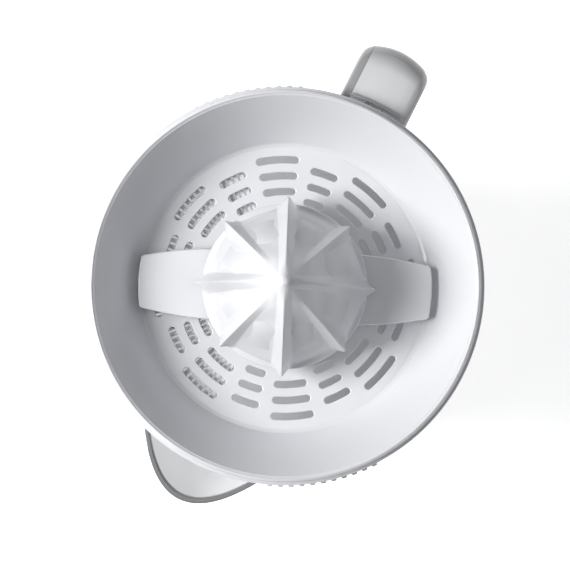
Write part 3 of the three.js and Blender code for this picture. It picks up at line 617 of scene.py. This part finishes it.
def sieve():
    under = SIEVE_FLOOR - SIEVE_SKIN
    shell = lathe(
        "sieve_wall",
        [
            (58.6, under, 0.2),
            (61.2, under, 2.0),
            (62.4, under + 1.2, 2.0),
            (79.1, LIP_TOP - 4.4, 0.6),
            (81.2, LIP_TOP - 4.6, 0.3),
            (81.2, LIP_FOOT, 0.3),
            (LIP_R, LIP_FOOT, 0.4),
            (LIP_R, LIP_TOP - 3.3, 0.5),
            (81.25, LIP_TOP - 2.75, 0.5),
            (80.75, LIP_TOP - 1.0, 0.5),
            (80.3, LIP_TOP - 0.1, 0.4),
            (79.7, LIP_TOP, 0.2),
            (79.3, LIP_TOP - 0.55, 0.25),
            (78.7, LIP_TOP - 0.75, 0.3),
            (61.4, SIEVE_FLOOR + 0.6, 1.6),
            (60.0, SIEVE_FLOOR + 0.02, 0.8),
            (58.6, SIEVE_FLOOR - 0.2, 0.2),
        ],
    )
    plate = flat_outline(
        "sieve_floor",
        [circle_loop(59.6, 180), circle_loop(11.6, 72)] + drain_slots(),
        under,
        SIEVE_FLOOR,
        0.42,
    )
    hub = lathe(
        "sieve_hub",
        [
            (9.2, 126, 0.4),
            (11.2, 126, 0.4),
            (11.2, under, 0),
            (15, under, 0.3),
            (15, under - 3, 0.4),
            (16, under - 3, 0.4),
            (16, under + 0.5, 0),
            (13.2, SIEVE_FLOOR + 0.05, 0.2),
            (11.5, SIEVE_FLOOR + 0.3, 0.4),
            (11.2, SIEVE_FLOOR + 5.5, 0.5),
            (9.2, SIEVE_FLOOR + 5.5, 0.5),
        ],
        96,
    )
    dress(plate, "sieve", "white_gloss")
    dress(hub, "sieve", "white_gloss")
    dress(shell, "sieve", "white_gloss", "sieve_bowl")


# ------------------------------------------------------------------ pulp selector


def sector_loop(start, end):
    steps = max(1, round((end - start) / 3))
    arc = [start + (end - start) * k / steps for k in range(steps + 1)]
    return [polar(COMB_R[1], a) for a in arc] + [polar(COMB_R[0], a) for a in reversed(arc)]


def comb_loops():
    """Gaps of the comb under one part of the sieve, and the open windows under the rest."""
    count = round((COMB_ARC[1] - COMB_ARC[0]) / COMB_PITCH)
    starts = [COMB_ARC[0] + COMB_PITCH * (k + (1 - COMB_GAP) / 2) for k in range(count)]
    gaps = [sector_loop(start, start + COMB_PITCH * COMB_GAP) for start in starts]
    spokes = [angle + 135 + 45 * k for k in range(6) for angle in SPOKE_ANGLES][:-1]
    windows = [
        sector_loop(here + SPOKE_HALF, there - SPOKE_HALF) for here, there in zip(spokes, spokes[1:])
    ]
    return gaps + windows


def grip_teeth():
    """The knurl on both finger grips."""
    teeth = []
    count = int((GRIP_ARC[1] - GRIP_ARC[0]) / GRIP_PITCH)
    for half in (0, 180):
        for k in range(count):
            centre = GRIP_ARC[0] + half + GRIP_PITCH * (k + 0.5)
            width = math.radians(GRIP_PITCH) * GRIP_R * 0.5
            teeth.append(
                box_piece(
                    f"grip_tooth_{half}_{k}",
                    (GRIP_R - 2.6, -width / 2, 161.7),
                    (GRIP_R - 0.05, width / 2, 165.2),
                    0.4,
                    centre,
                )
            )
    return teeth


def selector():
    shell = lathe(
        "selector_ring",
        [
            (58.0, 139.4, 0.2),
            (61.8, 139.3, 1.5),
            (64.3, 141.9, 1.0),
            (77.9, 161.6, 0.3),
            (81.6, 161.6, 0.4),
            (81.6, 163.4, 0.5),
            (77.2, 163.4, 0.3),
            (63.0, 142.8, 1.0),
            (61.2, 141.3, 0.6),
            (58.0, 141.2, 0.2),
        ],
    )
    comb = flat_outline(
        "selector_comb",
        [circle_loop(59.0, 180), circle_loop(16.5, 72)] + comb_loops(),
        139.3,
        141.3,
        0.15,
        1,
    )
    grips = []
    for half in (0, 180):
        steps = 40
        arc = [GRIP_ARC[0] + half + (GRIP_ARC[1] - GRIP_ARC[0]) * k / steps for k in range(steps + 1)]
        loop = [polar(GRIP_R - 0.9, a) for a in arc] + [polar(80.8, a) for a in reversed(arc)]
        grips.append(flat_outline(f"selector_grip_{half}", [loop], 161.7, 165.3, 0.3))
    for grip in grips:
        grip.modifiers.clear()
    knurl = joined("selector_grips", grips + grip_teeth())
    dress(comb, "selector", "white_satin")
    dress(knurl, "selector", "white_satin")
    dress(shell, "selector", "white_satin", "pulp_selector")


# ------------------------------------------------------------------ wiper and cones


def arm_loop():
    """Both arms: the ends are arcs about the drive axis and the long edges bow out a little."""
    half_end = math.degrees(math.asin(WIPER_END_WIDTH / 2 / WIPER_REACH))
    half_root = WIPER_ROOT_WIDTH / 2
    corner = 1.0
    reach_x, reach_y = polar(WIPER_REACH, half_end)
    side = []
    for k in range(13):
        t = k / 12
        x = reach_x - corner + (22 - reach_x + corner) * t
        y = reach_y + (half_root - reach_y) * t + 1.0 * math.sin(math.pi * t)
        side.append((x, y))
    tip = [polar(WIPER_REACH, half_end * 0.93 * (2 * k / 12 - 1)) for k in range(13)]
    right = tip + side
    left = [(-x, y) for x, y in reversed(side)]
    left_tip = [(-x, -y) for x, y in tip]
    lower_left = [(-x, -y) for x, y in side]
    lower_right = [(x, -y) for x, y in reversed(side)]
    loop = right + left + left_tip + lower_left + lower_right
    turn = Matrix.Rotation(math.radians(WIPER_AXIS), 2)
    return [tuple(turn @ Vector(p)) for p in loop]


def wiper():
    floor_of_arm = WIPER_TOP - WIPER_SKIN
    arms = flat_outline(
        "wiper_arms", [arm_loop(), circle_loop(15.4, 72)], floor_of_arm, WIPER_TOP, 0.7, 4
    )
    hub = lathe(
        "wiper_hub",
        [
            (15.2, SIEVE_FLOOR + 0.4, 0.3),
            (17.2, SIEVE_FLOOR + 0.4, 0.3),
            (17.2, floor_of_arm, 0.6),
            (31, floor_of_arm, 0.3),
            (31, WIPER_TOP - 0.05, 0.8),
            (15.2, WIPER_TOP - 0.05, 0.3),
        ],
        128,
    )
    blades = [
        box_piece(
            f"wiper_blade_{i}",
            (24, -1, SIEVE_FLOOR + 1.2),
            (58, 1, floor_of_arm + 0.4),
            0.4,
            WIPER_AXIS + 180 * i,
        )
        for i in range(2)
    ]
    keys = [
        box_piece(
            f"wiper_key_{i}",
            (13.1, -1.8, SIEVE_FLOOR + 2),
            (15.6, 1.8, floor_of_arm - 0.2),
            0.3,
            WIPER_AXIS + 180 * i,
        )
        for i in range(2)
    ]
    under = joined("wiper_under", [hub] + blades + keys)
    dress(under, "wiper", "white_gloss")
    dress(arms, "wiper", "white_gloss", "wiper")


def valley_radius(t):
    """Radius of the large cone at the foot of a rib, from the base, t = 0, to the tip, t = 1."""
    return CONE_TIP_R + (CONE_VALLEY_R - CONE_TIP_R) * (1 - t**1.5)


def ridge(across, half_width):
    """A rib's cross-section: 1 on the slightly rounded crest, falling in a hollow curve to 0."""
    x = math.sqrt((across / half_width) ** 2 + 0.004) - 0.02
    return max(0.0, 1 - x) ** 1.3


def cone_radius(degrees, t):
    """Radius of the large cone's outside: eight hollow facets between four tall and four low ribs."""
    base = valley_radius(t)
    turn = degrees % 90
    to_main = math.radians(min(turn, 90 - turn)) * base
    to_minor = math.radians(abs(turn - 45)) * base
    u = (turn % 45) / 22.5 - 1
    hollow = CONE_FACET_DEPTH * (0.5 + 0.5 * smoothstep(0, 0.3, t)) * (1 - smoothstep(0.62, 0.88, t))
    facet = base * (1 - hollow * (1 - u * u))
    main_rise = (CONE_RIB_R - CONE_VALLEY_R - 1.2) * (1 - t) ** 0.9 + 1.5 * (1 - smoothstep(0.9, 1, t))
    minor_rise = (CONE_RIB_R - CONE_VALLEY_R - 0.3) * max(0.0, 1 - t / 0.84) ** 0.9
    main = main_rise * ridge(to_main, 2.7 + 2.3 * (1 - t))
    minor = minor_rise * ridge(to_minor, 1.7 + 2.6 * (1 - t))
    return facet + main + minor


def large_cone():
    levels = 96
    ring_top = CONE_FOOT + 1.9
    tip = CONE_TOP - 1.0

    def outside(t):
        z = ring_top + (tip - ring_top) * t
        return lambda degrees: (cone_radius(degrees, t), z)

    def ring(fraction, r=CONE_RING_R):
        """The plain band round the foot, with the rib ends standing out past it."""
        def at(degrees):
            return max(r, cone_radius(degrees, 0.0) - 0.4), CONE_FOOT + 1.9 * fraction
        return at

    def ledge(fraction):
        """From the band's top edge in to the foot of the facets."""
        def at(degrees):
            edge = max(CONE_RING_R, cone_radius(degrees, 0.0) - 0.4)
            inner = cone_radius(degrees, 0.03)
            z = ring_top + (tip - ring_top) * 0.03 * fraction**1.6
            return edge + (inner - edge) * fraction, z
        return at

    stations = [(30.4, CONE_FOOT + 0.5), (30.8, CONE_FOOT), ring(0.0, CONE_RING_R - 0.3), ring(0.14)]
    stations += [ring(0.8), ledge(0.08), ledge(0.3), ledge(0.6), ledge(0.85)]
    stations += [outside(0.03 + 0.97 * (k / levels) ** 0.97) for k in range(levels + 1)]
    stations += [
        (CONE_TIP_R * math.cos(a), tip + 1.0 * math.sin(a))
        for a in (math.radians(d) for d in (5, 25, 45, 65, 80))
    ]
    stations += [(0.02, CONE_TOP), (0.02, 199), (8, 195.5), (20, 184), (27.6, 170)]
    cone = turned_grid("large_cone_shell", stations, 576, True, 50.0, WIPER_AXIS)
    dress(cone, "outer_cone", "white_gloss", "large_cone")


def small_cone():
    height = SMALL_CONE_TOP - SMALL_CONE_FOOT
    base_r = 26.4

    def outside(t):
        r = 1.5 + (base_r - 1.5) * (1 - t**1.6)
        z = SMALL_CONE_FOOT + (height - 0.8) * t

        def at(degrees):
            wave = (1 - abs(math.sin(math.radians(degrees * 4)))) ** 1.4
            return r + 1.3 * wave * (1 - t) ** 0.5, z
        return at

    stations = [(24.6, SMALL_CONE_FOOT), outside(0.0)]
    stations += [outside(k / 40) for k in range(1, 41)]
    stations += [(1.0, SMALL_CONE_TOP - 0.3), (0.02, SMALL_CONE_TOP), (0.02, 153)]
    stations += [(8.6, 153), (12.2, 153), (12.2, 147), (14.7, 147), (14.7, 172)]
    shell = turned_grid("small_cone_shell", stations, 256, True, 40.0, WIPER_AXIS)
    stem = turned_grid(
        "small_cone_stem",
        [(8.6, 153.4), (8.6, 128.8), (8.3, 128.5), (5.4, 128.5), (5.2, 128.9), (5.2, 152.6), (0.05, 152.6),
         (0.05, 153.4)],
        96, True, 35.0,
    )
    cone = joined("small_cone_body", [shell, stem])
    dress(cone, "inner_cone", "white_satin", "small_cone")


# ------------------------------------------------------------------ jug


def body_radius(z, inset=0.0):
    """The jug's wall without its spout."""
    levels = [(JUG_FOOT, 64.5), (76.4, 67.8), (79.5, 69.0), (105, 72.5), (140, 76.5), (155, 79.1),
              (158.6, RIM_R), (RIM_Z, RIM_R)]
    for (z0, r0), (z1, r1) in zip(levels, levels[1:]):
        if z <= z1:
            return r0 + (r1 - r0) * (z - z0) / (z1 - z0) - inset
    return RIM_R - inset


def wall_radius(degrees, z, inset=0.0):
    """The jug's wall with the spout blended into it."""
    plain = body_radius(z, inset)
    rise = (z - SPOUT_ROOT_Z) / (RIM_Z - SPOUT_ROOT_Z)
    away = math.radians(degrees - 180)
    front = math.cos(away)
    if rise <= 0 or front <= 0.5:
        return plain
    reach = SPOUT_ROOT_REACH + (SPOUT_REACH - SPOUT_ROOT_REACH) * rise - inset * 1.1
    curve = (SPOUT_ROOT_CURVE + (SPOUT_CURVE - SPOUT_ROOT_CURVE) * rise) * (1 - 0.03 * inset)
    side = max(1e-5, math.sin(away) ** 2)
    spout = (math.sqrt(front**2 + 2 * reach * side / curve) - front) * curve / side
    blend = 2.2 * smoothstep(0.0, 0.4, rise) + 0.01
    mixed = max(0.0, min(1.0, 0.5 + (spout - plain) / (2 * blend)))
    return plain + (spout - plain) * mixed + blend * mixed * (1 - mixed)


def jug_body():
    heights = [76.4, 78, 79.5, 84, 92, 100, 106]
    heights += [109.2 + (155 - 109.2) * k / 22 for k in range(23)]
    heights += [156.4, 157.6, 158.6, 159.6, RIM_Z - 0.5]

    def wall(z, inset=0.0):
        return lambda degrees: (wall_radius(degrees, z, inset), z)

    def rim(inset, drop):
        return lambda degrees: (wall_radius(degrees, RIM_Z, inset), RIM_Z - drop)

    stations = [(14.8, JUG_FOOT), (40, JUG_FOOT), (63.5, JUG_FOOT), (65.6, JUG_FOOT + 0.5)]
    stations += [wall(z) for z in heights]
    rim_start = len(stations)
    stations += [rim(0.15, 0.15), rim(0.5, 0.0), rim(JUG_WALL - 0.5, 0.0), rim(JUG_WALL - 0.15, 0.15)]
    rim_end = len(stations)
    stations += [wall(z, JUG_WALL) for z in reversed(heights[2:])]
    stations += [(65.2, 78.2), (62.5, 77.2), (40, 77.2), (20.5, 77.2), (18.8, 77.6), (17.4, 79.2)]
    stations += [(15.2, COLUMN_TOP - 0.8), (14.6, COLUMN_TOP), (13.1, COLUMN_TOP), (12.8, COLUMN_TOP - 0.4)]
    jug = turned_grid("jug_wall", stations, JUG_STEPS, True, 40.0)
    depths = [0.0] * len(stations)
    depths[4 : rim_start - 1] = [0.12 * smoothstep(100, 130, z) for z in heights[: rim_start - 5]]
    depths[rim_start - 1 : rim_end + 1] = [1.0] * (rim_end + 2 - rim_start)
    depths[-4:] = [0.5] * 4
    depth_at = [depth for depth in depths for _ in range(JUG_STEPS)]
    for i, z in enumerate(heights[: rim_start - 5]):
        for k in range(JUG_STEPS):
            degrees = 360 * k / JUG_STEPS
            bulge = wall_radius(degrees, z) - body_radius(z)
            depth_at[(4 + i) * JUG_STEPS + k] += SPOUT_DEPTH * smoothstep(1, 4, bulge)
    paint(jug, "edge_depth", depth_at)
    # painted shade: the rim band is darkened fully and the column top by half, as thick clear plastic looks
    # when seen edge-on
    paint(jug, "painted_edge_shade", [float(depth > 0.3) * depth for depth in depths for _ in range(JUG_STEPS)])
    return jug


def paint(obj, name, values):
    """Stores a number at each point: edge_depth is added to the opacity there, and may be below 0;
    the painted shade attribute is how far the colour goes to the dark one, a painted shade where thick clear
    plastic is seen edge-on. Both are set by place and not worked out."""
    attribute = obj.data.attributes.new(name, "FLOAT", "POINT")
    for entry, value in zip(attribute.data, values):
        entry.value = value


def handle_path():
    """The handle's outer line in the XZ plane, from the rim round to the foot of the wall."""
    corner = 11.0
    lean = 3.0
    top, bottom, reach = RIM_Z, HANDLE_BOTTOM, HANDLE_REACH
    points = [(79.2 + (reach - corner - 79.2) * k / 5, top) for k in range(6)]
    for k in range(1, 11):
        a = math.radians(90 - 9 * k)
        points.append((reach - corner + corner * math.cos(a), top - corner + corner * math.sin(a)))
    for k in range(1, 8):
        t = k / 8
        points.append((reach - lean * t, top - corner + (bottom + corner - top + corner) * t))
    for k in range(0, 11):
        a = math.radians(-9 * k)
        points.append(
            (reach - lean - corner + corner * math.cos(a), bottom + corner + corner * math.sin(a))
        )
    points += [(reach - lean - corner + (72.2 - reach + lean + corner) * k / 4, bottom) for k in (1, 2, 3, 4)]
    return [Vector(p) for p in points]


def channel_section():
    """The handle's section as (across, inward) points: a crowned web with a flange along each edge."""
    half = HANDLE_WIDTH / 2
    crown = half**2 / (2 * HANDLE_REACH)
    corner = 3.4
    web = 2.6
    outer = [(half - corner) * (2 * k / 24 - 1) for k in range(25)]
    outer[-1:] = [NEAR_BAND - 0.15, NEAR_BAND, half - corner]
    section = [(y, y * y / (2 * HANDLE_REACH)) for y in outer]
    for k in range(1, 7):
        a = math.radians(90 - 15 * k)
        section.append(
            (half - corner + corner * math.cos(a), crown + corner - corner * math.sin(a))
        )
    section += [(half, HANDLE_DEPTH - 0.8), (half - 0.8, HANDLE_DEPTH)]
    section += [(half - HANDLE_FLANGE + 0.8, HANDLE_DEPTH), (half - HANDLE_FLANGE, HANDLE_DEPTH - 0.8)]
    section += [(half - HANDLE_FLANGE - 0.1, web + 1.6), (half - HANDLE_FLANGE - 0.5, web + 0.6)]
    section += [(half - HANDLE_FLANGE - 1.5, web + 0.2)]
    mirrored = [(-y, d) for y, d in reversed(section[len(outer) :])]
    return section, mirrored


def jug_handle():
    path = handle_path()
    right, left = channel_section()
    section = right + left
    verts = []
    depths = []
    painted_shades = []
    count = len(section)
    bow_rate = 0.5 / HANDLE_END_CURVE - 0.5 / HANDLE_REACH
    for i, point in enumerate(path):
        ahead = path[min(i + 1, len(path) - 1)] - path[max(i - 1, 0)]
        tangent = ahead.normalized()
        inward = Vector((tangent.y, -tangent.x))
        level = point.y > RIM_Z - 13
        for y, depth in section:
            x, z = point + inward * depth
            bow = y * y * bow_rate * smoothstep(80, HANDLE_REACH - 4, point.x)
            verts.append((x - bow, y, z))
            if not level or depth > 4.7:
                depths.append(HANDLE_INSIDE_DEPTH)
                painted_shades.append(0.0)
                continue
            # painted shade: darker along the near band, over the far side and towards the outer end
            near_side = NEAR_BAND_PAINTED_SHADE if y > NEAR_BAND - 0.05 else 0.0
            far_side = smoothstep(6, 14.5, -y) * FAR_SIDE_PAINTED_SHADE
            end = smoothstep(HANDLE_REACH - 12, HANDLE_REACH + 1, x) * END_PAINTED_SHADE
            tint_or_painted_shade = max(near_side, far_side, end)
            painted_shades.append(tint_or_painted_shade)
            depths.append(HANDLE_TOP_DEPTH + 0.2 * tint_or_painted_shade)
    faces = []
    for i in range(len(path) - 1):
        here, there = i * count, (i + 1) * count
        for k in range(count):
            k1 = (k + 1) % count
            faces.append((here + k, here + k1, there + k1, there + k))
    faces.append(tuple(range(count)))
    faces.append(tuple(reversed(range((len(path) - 1) * count, len(path) * count))))
    handle = mesh_piece("jug_handle", verts, faces, 40.0)
    paint(handle, "edge_depth", depths)
    paint(handle, "painted_edge_shade", painted_shades)
    return handle


def locating_pad():
    """The ribbed pad where the handle meets the rim, which the sieve is lined up with."""
    bars = [(4.1, 0.55), (2.8, 0.6), (-0.2, 2.6), (-3.6, 0.5)]
    pieces = [
        box_piece(f"pad_rib_{i}", (82.7, y - w / 2, 160.8), (84.6, y + w / 2, 163.2), 0.15)
        for i, (y, w) in enumerate(bars)
    ]
    steps = 24
    arc = [-8 + 16 * k / steps for k in range(steps + 1)]
    loop = [polar(85.2, a) for a in arc] + [polar(84.4, a) for a in reversed(arc)]
    wall = flat_outline("pad_wall", [loop], 160.8, 163.3, 0.2)
    wall.modifiers.clear()
    pad = joined("jug_locating_pad", pieces + [wall])
    paint(pad, "edge_depth", [0.5] * len(pad.data.vertices))
    # painted shade: the pad's colour is darkened a little
    paint(pad, "painted_edge_shade", [0.1] * len(pad.data.vertices))
    return pad


def jug():
    dress(jug_handle(), "jug", "clear_jug")
    dress(locating_pad(), "jug", "clear_jug")
    dress(jug_body(), "jug", "clear_jug", "jug")


# ------------------------------------------------------------------ base


def base_housing():
    shell = lathe(
        "housing_shell",
        [
            (BASE_R - 2.2, 2.2, 0.4),
            (BASE_R, 2.2, 0.6),
            (BASE_R - 0.3, 9, 0),
            (BASE_R - 1.7, 36, 12),
            (BASE_R - 3.1, 58, 6),
            (BASE_R - 3.5, 68, 0),
            (BASE_R - 3.6, DECK_Z, 5.0),
            (14.4, DECK_Z, 1.2),
            (11.8, DECK_Z + 3, 2.0),
            (11.4, NECK_TOP, 1.0),
            (5.2, NECK_TOP, 0.3),
            (5.2, NECK_TOP - 2, 0.2),
            (9.3, NECK_TOP - 2, 0),
            (9.3, DECK_Z - 2.2, 0.3),
            (BASE_R - 6, DECK_Z - 2.2, 3.0),
            (BASE_R - 5.6, 58, 4),
            (BASE_R - 2.6, 9, 0),
        ],
        ROUND_STEPS,
        6,
    )
    notch = box_piece("notch", (-4, -BASE_R - 3, -1), (4, -BASE_R + 6, 9), 0.0)
    groove = turned_grid(
        "groove",
        [(BASE_R + 2, 11.4), (BASE_R - 0.9, 11.4), (BASE_R - 0.9, 12.0), (BASE_R + 2, 12.0)],
        ROUND_STEPS,
    )
    carve(shell, [notch, groove])
    dress(shell, "base", "white_gloss", "base_housing")


def base_plate():
    plate = lathe(
        "plate_shell",
        [
            (1.0, 0, 0),
            (37, 0, 0.5),
            (37, 1.8, 0.5),
            (31, 1.8, 0.6),
            (31, 15, 1.0),
            (55, 15, 1.0),
            (55, 3, 0.5),
            (69, 3, 0.5),
            (69, 7, 0.4),
            (57.5, 7, 0.8),
            (57.5, 17.5, 0.8),
            (28.5, 17.5, 0.8),
            (28.5, 2.5, 0.8),
            (1.0, 2.5, 0),
        ],
        144,
    )
    middle = post("plate_middle", 1.6, 0, 2.5)
    cutters = []
    for screw_node in (n for n in frame["nodes"] if n.startswith("plate_screw")):
        low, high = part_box(screw_node)
        x, y = (low.x + high.x) / 2 / MM, (low.y + high.y) / 2 / MM
        cutters.append(post("head_well", 3.8, 1, 5.2, x, y))
        cutters.append(post("screw_way", 1.9, 4.5, 9, x, y))
    cutters.append(box_piece("cord_notch", (-4, -72, -1), (4, -53.5, 9), 0.0))
    cutters.append(post("gland_hole", 4.9, 12, 20, 0, -43))
    carve(plate, cutters)
    whole = joined("plate_body", [plate, middle])
    dress(whole, "base", "white_satin", "base_plate")


def at_node(obj, node):
    """Moves a piece made on the axis to a node's own axis."""
    low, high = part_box(node)
    obj.data.transform(Matrix.Translation(((low.x + high.x) / 2, (low.y + high.y) / 2, 0)))
    return obj


def feet_and_screws():
    for node in sorted(frame["nodes"]):
        if node.startswith("foot_"):
            foot = lathe(
                node + "_sole",
                [(0.02, 0.35, 0), (3.2, 0.35, 0.2), (3.6, 0, 0.2), (5.5, 0, 0.7), (5.5, 2.7, 0.2),
                 (0.02, 2.7, 0)],
                64,
            )
            dress(at_node(foot, node), "base", "rubber", node)
        if node.startswith("plate_screw"):
            head = lathe(
                node + "_head",
                [(0.02, 3.4, 0), (2.6, 3.4, 0.6), (3.3, 4.3, 0.4), (3.3, 4.9, 0.1), (1.5, 4.9, 0.1),
                 (1.5, 17.4, 0.5), (0.02, 17.9, 0)],
                48,
            )
            cross = [
                box_piece(f"driver_{turn}", (-1.7, -0.4, 3.0), (1.7, 0.4, 4.5), 0.0, turn)
                for turn in (25, 115)
            ]
            carve(head, cross)
            dress(at_node(head, node), "base", "zinc_plate", node)
    gland = lathe(
        "gland_bush",
        [(3.3, 13.4, 0.5), (6.2, 13.4, 0.5), (6.2, 14.6, 0.3), (4.6, 14.6, 0.1), (4.6, 19.8, 0.5),
         (3.3, 19.8, 0.5)],
        64,
    )
    dress(at_node(gland, "cord_gland"), "base", "black_plastic", "cord_gland")


def spindle():
    shaft = turned_grid(
        "spindle_shaft",
        rounded(
            [(0.02, 45.3, 0), (2.8, 45.3, 0.3), (2.8, 46.6, 0.1), (3.6, 46.6, 0.2), (3.6, 78, 0.1),
             (6.4, 78, 0.3), (6.4, 80, 0.3), (3.6, 80, 0.1), (3.6, 130.5, 0.3), (0.02, 130.5, 0)]
        ),
        64,
        False,
    )
    sections = [(46.3, 68.0, 0.4), (130.0, 150.0, 1.2)]
    hexagons = []
    for z0, z1, chamfer in sections:
        stations = [(0.02, z0), (4.6, z0), (4.6, z1 - chamfer), (4.6 - chamfer, z1), (0.02, z1)]
        hexagons.append(turned_grid("hexagon", stations, 6, False, 20.0))
    dress(joined("spindle_body", [shaft] + hexagons), "spindle", "steel", "drive_spindle")
    seal = lathe(
        "seal_lip",
        [(4.2, NECK_TOP + 1.1, 0.3), (5.4, NECK_TOP + 0.3, 0.3), (8.6, NECK_TOP + 0.3, 0.3),
         (9.2, NECK_TOP + 1.3, 0.4), (6.4, NECK_TOP + 1.9, 0.5), (4.2, NECK_TOP + 3.3, 0.2)],
        72,
    )
    dress(seal, "base", "rubber", "spindle_seal")


def carried_over():
    """The nodes whose own shape is kept get their finish."""
    for name, obj in frame["nodes"].items():
        obj.data.materials.clear()
        obj.data.materials.append(FINISHES[SLOT_OF[name]])
        edges = obj.modifiers.new("edge_round", "BEVEL")
        edges.width = 0.00015
        edges.segments = 2
        edges.limit_method = "ANGLE"
        edges.angle_limit = math.radians(40)


# ------------------------------------------------------------------ camera, light and floor

IMAGE_TURN = 63.4  # the handle's direction, anticlockwise from the picture's right
CAMERA_HEIGHT = 1.0  # above the lip, in metres
LEAN = 2.5  # degrees that the camera leans from straight above


def picture_direction(degrees):
    return Vector((*polar(1.0, degrees - IMAGE_TURN), 0))


def camera():
    aim = Vector((0, 0, LIP_TOP * MM))
    up = picture_direction(90)
    lean = math.radians(LEAN)
    away = Vector((0, 0, 1)) * math.cos(lean) - up * math.sin(lean)
    data = bpy.data.cameras.new("studio_camera")
    data.sensor_width = 36
    data.lens = 153.3
    data.clip_start = 0.05
    data.clip_end = 20
    eye = bpy.data.objects.new("studio_camera", data)
    bpy.context.scene.collection.objects.link(eye)
    eye.location = aim + away * CAMERA_HEIGHT
    right = picture_direction(0)
    vertical = away.cross(right)
    turn = Matrix((right, vertical, away)).transposed()
    eye.rotation_mode = "QUATERNION"
    eye.rotation_quaternion = turn.to_quaternion()
    bpy.context.scene.camera = eye


def soft_light(name, direction, elevation, distance, size, power, colour=(1, 1, 1)):
    data = bpy.data.lights.new(name, "AREA")
    data.shape = "DISK"
    data.size = size
    data.energy = power
    data.color = colour
    lamp = bpy.data.objects.new(name, data)
    bpy.context.scene.collection.objects.link(lamp)
    flat = picture_direction(direction)
    e = math.radians(elevation)
    back = flat * math.cos(e) + Vector((0, 0, 1)) * math.sin(e)
    lamp.location = Vector((0, 0, 0.14)) + back * distance
    lamp.rotation_mode = "QUATERNION"
    lamp.rotation_quaternion = back.to_track_quat("Z", "Y")


def studio():
    soft_light("key_light", 180, 40, 1.3, 0.6, 19.8, (1.0, 0.998, 0.99))
    soft_light("top_light", 0, 80, 1.8, 1.3, 3.4, (0.97, 0.985, 1.0))
    world = bpy.data.worlds.new("studio_world")
    world.use_nodes = True
    sky = world.node_tree.nodes["Background"]
    sky.inputs["Color"].default_value = (0.95, 0.97, 1.0, 1)
    sky.inputs["Strength"].default_value = 0.11
    bpy.context.scene.world = world
    bpy.context.scene.view_settings.view_transform = "Standard"
    floor_mesh = bpy.data.meshes.new("studio_floor")
    half = 4.0
    floor_mesh.from_pydata(
        [(-half, -half, 0), (half, -half, 0), (half, half, 0), (-half, half, 0)], [], [(0, 1, 2, 3)]
    )
    floor = bpy.data.objects.new("studio_floor", floor_mesh)
    bpy.context.scene.collection.objects.link(floor)
    floor.location.z = -0.0002
    paper = plastic(
        "floor_paper", (0.92, 0.92, 0.92), (0.90, 0.90, 0.90), 0.3, 0.9, 0.05, 300.0, (0.02, 0.0002),
        **{"Emission Color": (1, 1, 1, 1), "Emission Strength": 0.7},
    )
    floor_mesh.materials.append(paper)


# ------------------------------------------------------------------ the whole scene

camera()
studio()
carried_over()
sieve()
selector()
wiper()
large_cone()
small_cone()
jug()
base_housing()
base_plate()
feet_and_screws()
spindle()
